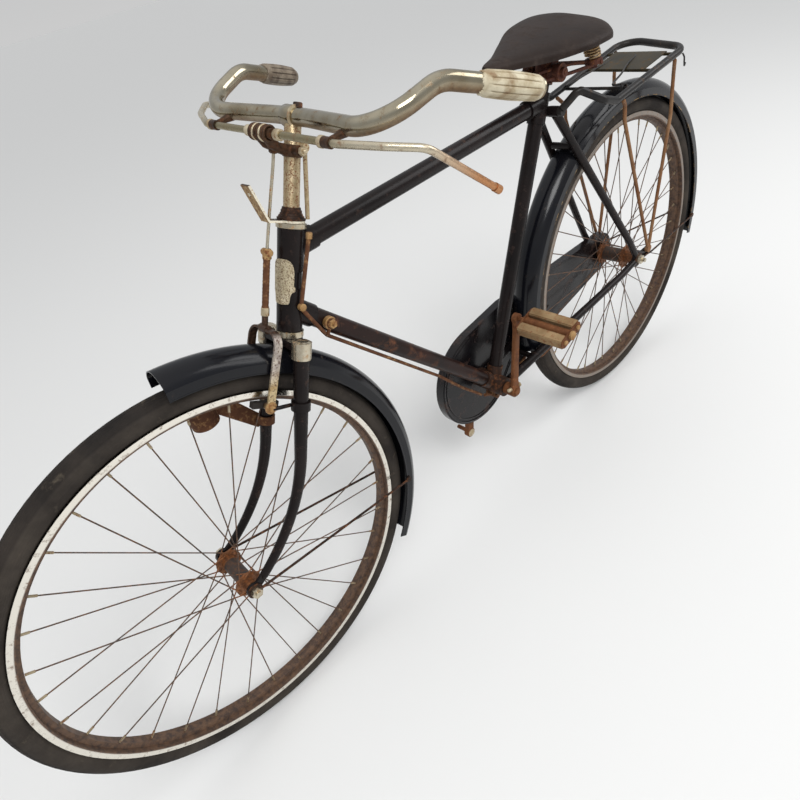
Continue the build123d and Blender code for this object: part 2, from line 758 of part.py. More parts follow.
# Handlebar: corners of its left half from the stem to the end of the grip
bar_corners = (
    (at(310, 946, 184.6), 56.7),
    (at(223, 970.7, 202.3), 50.0),
)
bar_end = at(102.3, 927, 246.7)
bar_middle = bar_centre + across * 32
with BuildPart() as handlebar:
    corners = [corner for corner, bend in bar_corners]
    bends = [bend for corner, bend in bar_corners]
    left = [bar_end, corners[1], corners[0], bar_middle]
    right = [Vector(point.X, -point.Y, point.Z) for point in reversed(left)]
    wire([askew(point) for point in left + right], [bends[1], bends[0], 50, 50, bends[0], bends[1]],
         bar_radius)
finish(handlebar, "handlebar")

grip_grooves = 10


def grip(sign):
    """Barrel grip with a closed end and lengthwise grooves."""
    end = askew(Vector(bar_end.X, sign * bar_end.Y, bar_end.Z))
    inner = askew(Vector(corners[1].X, sign * corners[1].Y, corners[1].Z))
    way = (inner - end).normalized()
    turned = Plane(origin=end, x_dir=way, z_dir=way.cross(Vector(0, 0, 1)))
    with BuildSketch(turned) as section:
        with BuildLine():
            cap = Line((-5, 0), (-5, grip_end_radius - 5))
            edge = ThreePointArc(cap @ 1, (-3.5, grip_end_radius - 1.5), (0, grip_end_radius))
            barrel = ThreePointArc(edge @ 1, (grip_length / 2 - 5, grip_radius),
                                   (grip_length - 5, grip_inner_radius))
            Polyline(barrel @ 1, (grip_length - 5, 0), cap @ 0)
        make_face()
    revolve(section.sketch, axis=Axis(end, way))
    ring = Plane(origin=end, z_dir=way)
    for groove in range(grip_grooves):
        turn = 2 * pi * groove / grip_grooves
        spot = Vector((grip_radius + 0.5) * cos(turn), (grip_radius + 0.5) * sin(turn), 0)
        low = ring.from_local_coords(spot)
        bar(low + way * 8, low + way * (grip_length - 16), 1.7, mode=Mode.SUBTRACT)
    bar(end, end + way * grip_length, bar_radius + braze_gap, mode=Mode.SUBTRACT)


with BuildPart() as grip_left:
    grip(1)
finish(grip_left, "grip_left")

with BuildPart() as grip_right:
    grip(-1)
finish(grip_right, "grip_right")

# Brake levers: a shaft in front of the bar, then a blade that follows the bend below the grip
lever_shaft = steer(42, 0, 660)
lever_radius = 4.5
shaft_inner = 22.0
blade_corners = (
    (0.0, 143.0, 0.0, 14.0),
    (-21.0, 196.0, -5.0, 24.0),
    (-49.0, 230.0, -13.0, 24.0),
    (-140.0, 245.0, -92.0, 0.0),
)
lever_lift = {1: 0.0, -1: 20.0}


def lever(sign):
    """Brake lever: shaft and blade on one side, turned about the shaft by its lift."""
    lift = radians(lever_lift[sign])
    points = [lever_shaft + across * sign * shaft_inner]
    for ahead, y, up, bend in blade_corners:
        points.append(lever_shaft + Vector(ahead * cos(lift) + up * sin(lift), sign * y,
                                           up * cos(lift) - ahead * sin(lift)))
    points = [askew(point) for point in points]
    wire(points, [bend for ahead, y, up, bend in blade_corners[:3]], lever_radius)
    tip_way = (points[4] - points[3]).normalized()
    bar(points[4] - tip_way * 5, points[4] + tip_way * 5, lever_radius + 1)


with BuildPart() as lever_left:
    lever(1)
finish(lever_left, "lever_left")

with BuildPart() as lever_right:
    lever(-1)
finish(lever_right, "lever_right")

# Bridle that is clamped to the stem, and the eyes that hold the levers' shafts to the bar
bridle_low = 640.0
bridle_high = 666.0
bar_eye_y = 122.0
with BuildPart() as lever_mounts:
    bar(steer(0, 0, bridle_low), steer(0, 0, bridle_high), 16)
    with BuildSketch(Plane(origin=bar_centre, x_dir=bar_ahead, z_dir=-bar_across)):
        with Locations((28, 655 - bar_height)):
            Rectangle(30, 12)
        with Locations((42, 660 - bar_height)):
            Circle(8)
    extrude(amount=27, both=True)
    for sign in (1, -1):
        side = bar_across * sign
        shaft = askew(lever_shaft)
        eye = shaft + side * bar_eye_y
        bar(eye - side * 7, eye + side * 7, 6.2)
        bar(shaft + side * (shaft_inner - 1), shaft + side * (bar_eye_y + 8), lever_radius + braze_gap,
            mode=Mode.SUBTRACT)
    bar(steer(0, 0, bridle_low - 1), steer(0, 0, bridle_high + 1), stem_radius + braze_gap,
        mode=Mode.SUBTRACT)
    bar(bar_centre - bar_across * 30, bar_centre + bar_across * 30, stem_head_radius + seat_gap,
        mode=Mode.SUBTRACT)
finish(lever_mounts, "lever_mounts")

# Front brake: rod and adjuster down to the stirrup, whose legs straddle the mudguard
stirrup_angle = 121.7
stirrup_y = 35.0
stirrup_radius = 4.0
stirrup_top = 410.0
shoe_radius = 302.0
stirrup_way = Vector(cos(radians(stirrup_angle)), 0, sin(radians(stirrup_angle)))
with BuildPart() as front_brake_rod:
    bar(steer(*rod_high), steer(*rod_low), rod_radius)
    bar(steer(35, -4, 513), steer(38, -4, 425), 5.5)
    bar(steer(26, -4, 632), steer(25.5, -4, 642), 6)
finish(front_brake_rod, "front_brake_rod")

stirrup_side = across.cross(stirrup_way)
with BuildPart() as front_brake_stirrup:
    corners = [(shoe_radius - 6, stirrup_y), (stirrup_top, stirrup_y), (stirrup_top, -stirrup_y),
               (shoe_radius - 6, -stirrup_y)]
    strip([front_axle + stirrup_way * out + across * y for out, y in corners], [18, 18], 12.0, 3.6,
          stirrup_side)
    top = front_axle + stirrup_way * stirrup_top
    bar(top - across * 12, top + across * 6, 6.4)
    bar(top - across * 4, steer(38, -4, 424.5), 4.5)
    for sign in (1, -1):
        shoe = front_axle + stirrup_way * shoe_radius
        bar(shoe + across * sign * 23, shoe + across * sign * (stirrup_y + 1.8), 5.5)
finish(front_brake_stirrup, "front_brake_stirrup")

block_length = 42.0
block_inner_y = 12.0
block_outer_y = 22.5
block_height = 9.0


def blocks(axle, way):
    """Pair of brake blocks just inside the rim, at one place round the wheel."""
    for sign in (1, -1):
        middle = axle + way * (shoe_radius + 0.2) + across * sign * (block_inner_y + block_outer_y) / 2
        with BuildSketch(Plane(origin=middle - way * block_height / 2, x_dir=(0, 1, 0), z_dir=way)) as foot:
            Rectangle(block_outer_y - block_inner_y, block_length)
        extrude(foot.sketch, amount=block_height)


with BuildPart() as front_brake_blocks:
    blocks(front_axle, stirrup_way)
finish(front_brake_blocks, "front_brake_blocks")

# Clips on the fork blades that steady the stirrup's legs
clip_t = 300.0
with BuildPart() as fork_clips:
    for sign in (1, -1):
        y = sign * 47.8
        bar(steer(blade_ahead, y, clip_t - 7), steer(blade_ahead, y, clip_t + 7), 14.5)
        pin_y = sign * (stirrup_y + 1.8 + seat_gap + 3)
        bar(steer(blade_ahead + 11, pin_y, clip_t), steer(52, pin_y, clip_t), 3)
        bar(steer(blade_ahead, y, clip_t - 9), steer(blade_ahead, y, clip_t + 9), 11.6, mode=Mode.SUBTRACT)
finish(fork_clips, "fork_clips")

# Front mudguard stays, one wire on each side
stay_angle = 192.6
with BuildPart() as front_guard_stays:
    for sign in (1, -1):
        way = Vector(cos(radians(stay_angle)), 0, sin(radians(stay_angle)))
        foot = front_axle + across * sign * (fork_tip_y + seat_gap)
        hold = front_axle + way * 356 + across * sign * (guard_half_width + seat_gap)
        bar(foot, foot + across * sign * 1.8, 13)
        bar(hold, hold + across * sign * 3, 6)
        bar(foot + way * 12 + across * sign * 2.4, hold + across * sign * 2.2, 2.2)
        bar(foot - across * sign, foot + across * sign * 4, axle_radius + braze_gap, mode=Mode.SUBTRACT)
finish(front_guard_stays, "front_guard_stays")

# Rear mudguard stays
rear_stay_angle = 188.0
with BuildPart() as rear_guard_stays:
    for sign in (1, -1):
        way = Vector(cos(radians(rear_stay_angle)), 0, sin(radians(rear_stay_angle)))
        foot = rear_axle + across * sign * (fork_end_y + fork_end_thickness / 2 + seat_gap)
        hold = rear_axle + way * 358 + across * sign * (guard_half_width + seat_gap)
        bar(foot, foot + across * sign * 1.8, 15)
        bar(hold, hold + across * sign * 3, 6)
        level = across * sign * 2.6
        wire([foot + way * 14 + level, foot + way * 62 + level, hold + across * sign * 2.2], [40], 2.2)
        bar(foot - across * sign, foot + across * sign * 4, axle_radius + braze_gap, mode=Mode.SUBTRACT)
finish(rear_guard_stays, "rear_guard_stays")

# Blank badge plate on the front of the head tube
badge_inner = head_tube_radius + lug_wall * 0.7 + seat_gap
with BuildPart() as head_badge:
    with BuildSketch(head.offset(440)):
        Circle(badge_inner + 1.2)
        Circle(badge_inner, mode=Mode.SUBTRACT)
        with Locations((20, 0)):
            Rectangle(24, 32, mode=Mode.INTERSECT)
    extrude(amount=65)
finish(head_badge, "head_badge")

# Bottle dynamo on a bracket from the right fork blade
dynamo_point = at(560, 590, -62)
up = Vector(0, 0, 1)
with BuildPart() as dynamo:
    bar(dynamo_point, dynamo_point + up * 58, 22)
    bar(dynamo_point + up * 58, dynamo_point + up * 68, 22, 10)
    bar(dynamo_point + up * 68, dynamo_point + up * 84, 9)
    with BuildSketch(Plane(origin=at(0, 0, -61), x_dir=(1, 0, 0), z_dir=(0, -1, 0))):
        with BuildLine():
            Polyline((470, 530), (492, 526), (545, 600), (545, 640), (528, 640), (520, 618), close=True)
        make_face()
    extrude(amount=3)
    bar(steer(blade_ahead, -49.5, 232), steer(blade_ahead, -49.5, 246), 14)
    bar(steer(blade_ahead, -49.5, 230), steer(blade_ahead, -49.5, 248), 11.3, mode=Mode.SUBTRACT)
finish(dynamo, "dynamo")

# Chain case
case_front = (0.0, 298.0)
with BuildPart() as chain_case:
    with BuildSketch(side_plane(-case_inner_y)) as outline:
        with Locations(case_front):
            Circle(case_front_radius)
        with Locations((rear_axle_x, tyre_radius)):
            Circle(case_rear_radius)
        with BuildLine():
            Polyline((-110, 258), (18, 415), (-106, 428), (-230, 416), (rear_axle_x, tyre_radius + 47),
                     (rear_axle_x, tyre_radius - 47), (-230, 268), (0, 181), close=True)
        make_face()
        with Locations(case_front):
            Circle(14, mode=Mode.SUBTRACT)
        with Locations((rear_axle_x, tyre_radius)):
            Circle(20, mode=Mode.SUBTRACT)
    extrude(amount=case_outer_y - case_inner_y)
    start, knee, tip = chain_stay_line(-1)
    bar(start + (start - knee).normalized() * 2, knee, chain_stay_radius + 1.5, chain_stay_tip_radius + 1.5,
        mode=Mode.SUBTRACT)
    bar(knee, tip, chain_stay_tip_radius + 1.5, mode=Mode.SUBTRACT)
    low, knee, top = seat_stay_line(-1)
    bar(low - stay_way * 4, knee, seat_stay_radius + 0.5, mode=Mode.SUBTRACT)
finish(chain_case, "chain_case")

# Crank set
pedal_axle_radius = 5.0
spindle_stub = 30.0
pedal_inner = left_crank_y + crank_thickness / 2 + moving_gap + 3
pedal_outer = pedal_inner + pedal_length


def crank_tip(sign):
    """Point where the pedal's axle meets the crank, on the bike's middle plane."""
    angle = radians(crank_angle if sign > 0 else crank_angle + 180)
    return bracket + Vector(cos(angle), 0, sin(angle)) * crank_length


def crank(sign, crank_y, spindle_end):
    """Crank arm with its boss, and the pedal's axle out to spindle_end."""
    crank_inner = crank_y - crank_thickness / 2
    crank_outer = crank_y + crank_thickness / 2
    tip = crank_tip(sign)
    side = across * sign
    boss = half_shell + seat_gap if sign > 0 else case_outer_y + 1
    bar(bracket + side * boss, bracket + side * (crank_outer + 2), 16)
    with BuildSketch(Plane(origin=bracket + side * crank_inner, x_dir=(tip - bracket).normalized(),
                           z_dir=side)) as arm:
        with BuildLine():
            Polyline((0, -12), (crank_length, -8.5), (crank_length, 8.5), (0, 12), close=True)
        make_face()
        with Locations((crank_length, 0)):
            Circle(12)
    extrude(arm.sketch, amount=crank_thickness)
    bar(tip + side * crank_inner, tip + side * spindle_end, pedal_axle_radius)


with BuildPart() as crank_left:
    crank(1, left_crank_y, pedal_outer + 3)
    bar(bracket + across * (half_shell - 1), bracket + across * (left_crank_y + crank_thickness / 2 + 1),
        bracket_axle_radius + braze_gap, mode=Mode.SUBTRACT)
finish(crank_left, "crank_left")

# The right crank carries the bracket's axle and a bare spindle, whose pedal is missing
with BuildPart() as crank_right:
    crank(-1, right_crank_y, right_crank_y + crank_thickness / 2 + spindle_stub)
    bar(bracket - across * (right_crank_y + crank_thickness / 2 + 3),
        bracket + across * (left_crank_y + crank_thickness / 2 + 0.8), bracket_axle_radius)
finish(crank_right, "crank_right")

# Left pedal, its rear rubber up
pedal_tip = crank_tip(1)
pedal_ahead = Vector(cos(radians(pedal_pitch)), 0, -sin(radians(pedal_pitch)))
plate_thick = 2.5
with BuildPart() as pedal_cage_left:
    bar(pedal_tip + across * pedal_inner, pedal_tip + across * pedal_outer, 9)
    for near in (pedal_inner, pedal_outer - plate_thick):
        with BuildSketch(Plane(origin=pedal_tip + across * near, x_dir=pedal_ahead, z_dir=across)):
            SlotOverall(72, 24)
        extrude(amount=plate_thick)
    bar(pedal_tip + across * (pedal_inner - 1), pedal_tip + across * (pedal_outer + 1),
        pedal_axle_radius + running_gap, mode=Mode.SUBTRACT)
finish(pedal_cage_left, "pedal_cage_left")

with BuildPart() as pedal_rubbers_left:
    with BuildSketch(Plane(origin=pedal_tip + across * (pedal_inner + plate_thick + seat_gap),
                           x_dir=pedal_ahead, z_dir=across)):
        with Locations((21.5, 0), (-21.5, 0)):
            RectangleRounded(22, 27, 5)
    extrude(amount=pedal_length - 2 * plate_thick - 2 * seat_gap)
finish(pedal_rubbers_left, "pedal_rubbers_left")

# Rear carrier
carrier_radius = 7.0
hoop_corners = (
    (-242.0, 780.0, 38.0, 0.0),
    (-262.0, 806.0, 60.0, 12.0),
    (-306.0, 776.0, 84.0, 16.0),
    (-345.0, 762.0, 84.0, 24.0),
    (-597.0, 784.0, 88.0, 37.0),
    (-649.0, 793.0, -69.0, 37.0),
    (-346.0, 767.0, -60.0, 24.0),
    (-306.0, 780.0, -58.0, 16.0),
    (-262.0, 806.0, -52.0, 10.0),
    (-242.0, 780.0, -38.0, 0.0),
)
rail_near = at(-345.0, 762.0, 84.0)
rail_near_end = at(-597.0, 784.0, 88.0)
rail_far = at(-346.0, 767.0, -60.0)
rail_far_end = at(-649.0, 793.0, -69.0)
with BuildPart() as carrier_hoop:
    wire([at(x, z, y) for x, z, y, bend in hoop_corners], [bend for x, z, y, bend in hoop_corners[1:-1]],
         carrier_radius)
    for sign in (1, -1):
        side = across * sign
        bar(stay_eye + side * (stay_bolt_y + seat_gap), stay_eye + side * 40, 8)
finish(carrier_hoop, "carrier_hoop")



def rail_point(start, end, x):
    """Point of a straight rail at the place x along the bicycle."""
    return start + (end - start) * ((x - saddle_x - start.X) / (end.X - start.X))


def rod_ends(x):
    """Ends of a cross rod at x, just clear of the two rails."""
    near = rail_point(rail_near, rail_near_end, x)
    far = rail_point(rail_far, rail_far_end, x)
    way = (far - near).normalized()
    return near + way * (carrier_radius + seat_gap), far - way * (carrier_radius + seat_gap)


plate_front_x = -482.0
plate_rear_x = -562.0
plate_width = 112.0
plate_rods = [rod_ends(x) for x in (plate_front_x, plate_rear_x)]
plate_middle = (plate_rods[0][0] + plate_rods[0][1] + plate_rods[1][0] + plate_rods[1][1]) * 0.25
plate_across = (plate_rods[0][0] + plate_rods[1][0] - plate_rods[0][1] - plate_rods[1][1]).normalized()
plate_up = (plate_rods[0][0] - plate_rods[1][0]).cross(plate_across).normalized()
with BuildPart() as carrier_plate:
    for near, far in plate_rods:
        bar(near, far, 3.0)
    with BuildSketch(Plane(origin=plate_middle + plate_up * 2, x_dir=plate_across, z_dir=plate_up)):
        Rectangle(plate_width, plate_front_x - plate_rear_x + 10)
    extrude(amount=2)
finish(carrier_plate, "carrier_plate")

strut_y = fork_end_y + fork_end_thickness / 2 + seat_gap + 4.2
strut_radius = 3.8
strut_eye = (-536.0, 366.0)
strut_low = ((-532.0, 374.0), (-539.0, 374.0))
strut_bends = ((-408.0, 706.0), (-601.0, 653.0))
strut_tops = {1: (rail_point(rail_near, rail_near_end, -372.0), rail_point(rail_near, rail_near_end, -560.0)),
              -1: (rail_point(rail_far, rail_far_end, -372.0), rail_point(rail_far, rail_far_end, -606.0))}
with BuildPart() as carrier_struts:
    for sign in (1, -1):
        for top, bend, low in zip(strut_tops[sign], strut_bends, strut_low):
            under = top - Vector(0, 0, carrier_radius + seat_gap + strut_radius)
            with Locations(under):
                Sphere(strut_radius)
            wire([under, at(bend[0], 734, sign * strut_y), at(*bend, sign * strut_y), at(*low, sign * strut_y)],
                 [14, 14], strut_radius)
        eye = at(strut_eye[0], strut_eye[1], sign * (strut_y - 4))
        bar(eye, eye + across * sign * 8, 9)
finish(carrier_struts, "carrier_struts")

# Rear brake: upper rod on the steering, linkage on the frame and the stirrup at the rear wheel
with BuildPart() as rear_brake_upper_rod:
    bar(steer(-3, 23, 652), steer(-11, 23, 560), rod_radius)
    bar(steer(-2, 16 + seat_gap, 648), steer(-3, 27, 648), 5.5)
finish(rear_brake_upper_rod, "rear_brake_upper_rod")

with BuildPart() as rear_brake_linkage:
    wire([steer(-14, 23, 543), steer(-4, 23, 438), at(362, 662, 23), at(348, 641, 4),
          at(142, 411, 0), at(96, 351, 0), at(40, 288, 0)], [12, 8, 10, 30, 30], rod_radius)
    clamp = down_head + (bracket - down_head).normalized() * 62
    bar(clamp + across * (down_tube_radius + seat_gap), clamp + across * 28, 8)
    bar(clamp + across * 23, at(354, 651, 18), 3)
finish(rear_brake_linkage, "rear_brake_linkage")

# Pivot under the bottom bracket, its rod and the stirrup that lies below the chain stays
pivot = at(4, 265)
pivot_joint = at(30, 279)
rear_shoe_angle = -12.0
rear_shoe_way = Vector(cos(radians(rear_shoe_angle)), 0, sin(radians(rear_shoe_angle)))
rear_shoe = rear_axle + rear_shoe_way * shoe_radius
rear_stirrup_y = 32.0
rear_stirrup_front = at(-128, 288)
pivot_tail = at(-11, 256)
with BuildPart() as rear_brake_stirrup:
    foot = rear_stirrup_front
    side = across * rear_stirrup_y
    wire([rear_shoe + side, foot + side, foot - side, rear_shoe - side], [15, 15], stirrup_radius)
    bar(pivot_tail, foot, rod_radius)
    bar(pivot - across * 15, pivot + across * 15, 6.5)
    with BuildSketch(side_plane(0)) as foot_block:
        with Locations((4, 271)):
            Rectangle(13, 12)
    extrude(foot_block.sketch, amount=11, both=True)
    bar(bracket - across * 13, bracket + across * 13, bracket_shell_radius + seat_gap, mode=Mode.SUBTRACT)
    bar(pivot, pivot_joint, 3.6)
    bar(pivot, pivot_tail, 3.6)
    bar(pivot_tail - across * 5, pivot_tail + across * 5, 5)
    for sign in (1, -1):
        bar(rear_shoe + across * sign * 23, rear_shoe + across * sign * (rear_stirrup_y + 4.5), 5.5)
finish(rear_brake_stirrup, "rear_brake_stirrup")

with BuildPart() as rear_brake_blocks:
    blocks(rear_axle, rear_shoe_way)
finish(rear_brake_blocks, "rear_brake_blocks")
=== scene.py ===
# %% [markdown]
# # An old roadster bicycle
# The bicycle's solids come from the imported frame. This file gives them their worn finishes and adds the small
# pieces that a maker would notice: spoke nipples, nuts, coil springs, the leather top and the ragged grips.
# It starts by loading the frame.

# %% Load the frame
from math import copysign, cos, pi, radians, sin, sqrt

import bmesh
import bpy
import numpy as np
from mathutils import Matrix, Vector


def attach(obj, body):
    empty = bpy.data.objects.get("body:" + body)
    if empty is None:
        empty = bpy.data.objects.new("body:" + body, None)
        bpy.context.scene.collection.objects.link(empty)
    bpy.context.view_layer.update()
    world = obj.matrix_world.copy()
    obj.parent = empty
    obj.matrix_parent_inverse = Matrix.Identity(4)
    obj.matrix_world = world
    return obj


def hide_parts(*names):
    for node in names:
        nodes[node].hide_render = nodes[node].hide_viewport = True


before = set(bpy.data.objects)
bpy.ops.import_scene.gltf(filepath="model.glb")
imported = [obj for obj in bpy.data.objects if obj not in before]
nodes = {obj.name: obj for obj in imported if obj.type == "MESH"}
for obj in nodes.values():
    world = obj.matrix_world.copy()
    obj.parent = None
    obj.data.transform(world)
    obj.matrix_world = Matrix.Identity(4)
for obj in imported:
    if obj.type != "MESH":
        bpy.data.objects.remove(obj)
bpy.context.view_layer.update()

# %% [markdown]
# The frame's origin is the top of the saddle. Bicycle makers think in other places: ahead of the bottom
# bracket, height above the ground, and distances along the steering axis. Two small helpers turn those
# into points of the frame, in metres, and a third puts objects into the scene.

# %% Layout helpers
saddle_x, saddle_z = -268.0, 901.5
head_angle = radians(65.5)
head_up = Vector((-cos(head_angle), 0, sin(head_angle)))
head_ahead = Vector((sin(head_angle), 0, cos(head_angle)))
left = Vector((0, 1, 0))
axle_height, bracket_height = 356.0, 296.0
chain_stay_length = 501.0
rear_axle_x = -sqrt(chain_stay_length**2 - (axle_height - bracket_height) ** 2)


def at(x, z, y=0.0):
    """A place ahead of the bottom bracket, above the ground and to the left, as a point of the frame."""
    return Vector(((x - saddle_x) / 1000, y / 1000, (z - saddle_z) / 1000))


front_axle = at(650, axle_height)
rear_axle = at(rear_axle_x, axle_height)
steering_foot = front_axle - head_ahead * 0.09


def steer(ahead, y, height):
    """A place ahead of, beside and up the steering axis, in millimetres, as a point of the frame."""
    return steering_foot + head_ahead * (ahead / 1000) + left * (y / 1000) + head_up * (height / 1000)


def placed(name, data):
    """An object in the scene with some data."""
    obj = bpy.data.objects.new(name, data)
    bpy.context.scene.collection.objects.link(obj)
    return obj


print("front axle", tuple(round(v, 3) for v in front_axle))

# %% [markdown]
# The camera stands where the photographer stood: to the left, ahead and above the handlebar, looking down
# and back. Its place and its three directions were worked out from the wheels and tubes in the picture.

# %% Camera
camera_data = bpy.data.cameras.new("photo_camera")
camera_data.lens = 25.47
camera_data.sensor_width = 36.0
camera_data.clip_start = 0.01
camera = placed("photo_camera", camera_data)
picture_right = Vector((-0.70115, 0.67873, -0.21843))
picture_up = Vector((-0.56631, -0.34397, 0.74899))
picture_back = Vector((0.43323, 0.64885, 0.62554))
turn = Matrix((picture_right, picture_up, picture_back)).transposed()
camera.matrix_world = Matrix.Translation(at(706.7, 1090.8, 685.5)) @ turn.to_4x4()
bpy.context.scene.camera = camera
print("camera at", tuple(round(v, 3) for v in camera.location))

# %% [markdown]
# Old metal is never one colour. Every finish here starts from noise at two or three sizes, read in the
# object's own coordinates so that it stays put, and mixes a clean coat with a worn one.

# %% Node helpers
# rim_lip spans the rim's outer lip, where a chrome band paints a highlight line.
rim_lip = (0.3135, 0.315)
tyre_shoulder = (0.3455, 0.348)
tread_rib, wall_ring = 0.0042, 0.0034


def new_material(name):
    """An empty node material and its tree."""
    material = bpy.data.materials.new(name)
    material.use_nodes = True
    return material, material.node_tree


def fill(tree, node, inputs):
    """A node whose inputs get what is listed, a socket or a plain value for each."""
    for label, value in inputs.items():
        if isinstance(value, bpy.types.NodeSocket):
            tree.links.new(value, node.inputs[label])
        else:
            node.inputs[label].default_value = value
    return node


def add(tree, kind, inputs):
    """New node with its inputs filled."""
    return fill(tree, tree.nodes.new(kind), inputs)


def opaque(colour):
    """Four numbers for a colour or a grey; a socket stays as it is."""
    if isinstance(colour, float):
        return (colour, colour, colour, 1.0)
    return (*colour, 1.0) if isinstance(colour, tuple) else colour


def noise(tree, scale, detail=6.0, rough=0.6, stretch=(1, 1, 1)):
    """Noise in object coordinates."""
    where = add(tree, "ShaderNodeTexCoord", {}).outputs["Object"]
    place = add(tree, "ShaderNodeMapping", {"Scale": stretch, "Vector": where}).outputs["Vector"]
    inputs = {"Scale": scale, "Detail": detail, "Roughness": rough, "Vector": place}
    return add(tree, "ShaderNodeTexNoise", inputs).outputs["Fac"]


def ramp(tree, value, stops):
    """Colours or greys by value; stops is a list of (place, colour)."""
    node = add(tree, "ShaderNodeValToRGB", {"Fac": value})
    while len(node.color_ramp.elements) < len(stops):
        node.color_ramp.elements.new(0.5)
    for element, (place, colour) in zip(node.color_ramp.elements, stops):
        element.position = place
        element.color = opaque(colour)
    return node.outputs["Color"]


def fade(tree, value, low, high, start=0.0, end=1.0):
    """Colour or grey that goes from start, at the value low, to end, at the value high."""
    return ramp(tree, value, [(low, start), (high, end)])


def spread(tree, value, low, high):
    """Value from low to high stretched to 0 to 1."""
    inputs = {"From Min": low, "From Max": high, "Value": value}
    return add(tree, "ShaderNodeMapRange", inputs).outputs["Result"]


def rise(tree, value, low, high, start=0.0, end=1.0):
    """The same as fade, for a value in metres, whose range would be too narrow for a ramp's stops."""
    return fade(tree, spread(tree, value, low, high), 0.0, 1.0, start, end)


def blend(tree, amount, first, second):
    """Mix of two colours by amount; each may be a socket, a colour or a grey."""
    node = tree.nodes.new("ShaderNodeMix")
    node.data_type = "RGBA"
    return fill(tree, node, {0: amount, 6: opaque(first), 7: opaque(second)}).outputs[2]


def mottle(tree, value, low, high, first, second):
    """Patches of two colours, the first where the value is below low, the second where it is above high."""
    return blend(tree, fade(tree, value, low, high), first, second)


def sums(tree, kind, *values):
    """A math node of one or two values, which may be sockets or numbers."""
    node = tree.nodes.new("ShaderNodeMath")
    node.operation = kind
    return fill(tree, node, dict(enumerate(values))).outputs[0]


def parts_of(tree, source, output):
    """The three parts of the vector that a new node gives."""
    vector = add(tree, source, {}).outputs[output]
    return add(tree, "ShaderNodeSeparateXYZ", {"Vector": vector}).outputs


def place_of(tree):
    """X, Y and Z of a place in object coordinates, in metres."""
    return parts_of(tree, "ShaderNodeTexCoord", "Object")


def facing_of(tree):
    """X, Y and Z of the way that a surface faces."""
    return parts_of(tree, "ShaderNodeNewGeometry", "Normal")


def cover(material, colour, rough, metal, height, strength, shine=0.5):
    """Colour, roughness, metal, shine and relief of a material, whose metal may be a number."""
    tree = material.node_tree
    relief = add(tree, "ShaderNodeBump", {"Strength": strength, "Distance": 0.001, "Height": height})
    inputs = {"Base Color": colour, "Roughness": rough, "Metallic": metal, "Specular IOR Level": shine,
              "Normal": relief.outputs["Normal"]}
    fill(tree, tree.nodes["Principled BSDF"], inputs)
    return material


def worn_coat(name, coat, coat_other, worn, wear_from, wear_to, gloss, metal=0.0, worn_metal=0.0,
              size=45.0, relief=0.25, worn_gloss=0.75, underside_rust_and_shade=0.0, shine=0.16):
    """A coat with two tones that gives way to a worn layer where the noise is high, and, when asked, on its
    downward faces, where that layer is partly rust and partly painted shade.
    """
    material, tree = new_material(name)
    fine = noise(tree, size, 8.0, 0.7)
    tone = mottle(tree, noise(tree, size * 0.25, 4.0), 0.35, 0.65, coat, coat_other)
    mask = fade(tree, fine, wear_from, wear_to)
    # On the downward faces the worn layer is partly rust and partly painted shade.
    if underside_rust_and_shade:
        below = sums(tree, "SUBTRACT", 0.5, sums(tree, "MULTIPLY", facing_of(tree)["Z"], 0.5))
        down = fade(tree, below, 0.45, 0.8, 0.0, underside_rust_and_shade)
        low = sums(tree, "MULTIPLY", down, sums(tree, "ADD", fine, 0.4))
        mask = sums(tree, "MAXIMUM", mask, low)
    worn_tone = mottle(tree, noise(tree, size * 3.0), 0.3, 0.7, *worn)
    if metal != worn_metal:
        metal = blend(tree, mask, metal, worn_metal)
    return cover(material, blend(tree, mask, tone, worn_tone), blend(tree, mask, gloss, worn_gloss), metal,
                 blend(tree, mask, fine, noise(tree, size * 6.0)), relief, shine)


def wheel_radius(tree, axle):
    """Distance from a wheel's axle and the place across it, both in metres."""
    place = place_of(tree)
    ahead = sums(tree, "SUBTRACT", place["X"], axle.x)
    above = sums(tree, "SUBTRACT", place["Z"], axle.z)
    square = sums(tree, "ADD", sums(tree, "MULTIPLY", ahead, ahead), sums(tree, "MULTIPLY", above, above))
    return sums(tree, "SQRT", square), place["Y"]


def rim_finish(name, axle, lip_highlight_share):
    """Rusty brown rim with a band of bright chrome round its outer lip, which is a painted highlight line along
    the lip, shown in patches and in a share given for each wheel.
    """
    material, tree = new_material(name)
    fine = noise(tree, 110.0, 8.0, 0.7)
    # The chrome band on the outer lip paints the bright highlight line along the rim.
    lip = rise(tree, wheel_radius(tree, axle)[0], *rim_lip)
    lip_highlight_patches = fade(tree, noise(tree, 16.0, 5.0), 0.18, 0.38, 0.45 * lip_highlight_share, lip_highlight_share)
    chrome = sums(tree, "MULTIPLY", sums(tree, "MULTIPLY", lip, lip_highlight_patches), fade(tree, fine, 0.55, 0.68, 1.0, 0.1))
    brown = mottle(tree, fine, 0.38, 0.62, (0.055, 0.035, 0.027), (0.15, 0.085, 0.05))
    return cover(material, blend(tree, chrome, brown, (0.8, 0.76, 0.68)), blend(tree, chrome, 0.55, 0.16),
                 blend(tree, chrome, 0.35, 1.0), fine, 0.25)


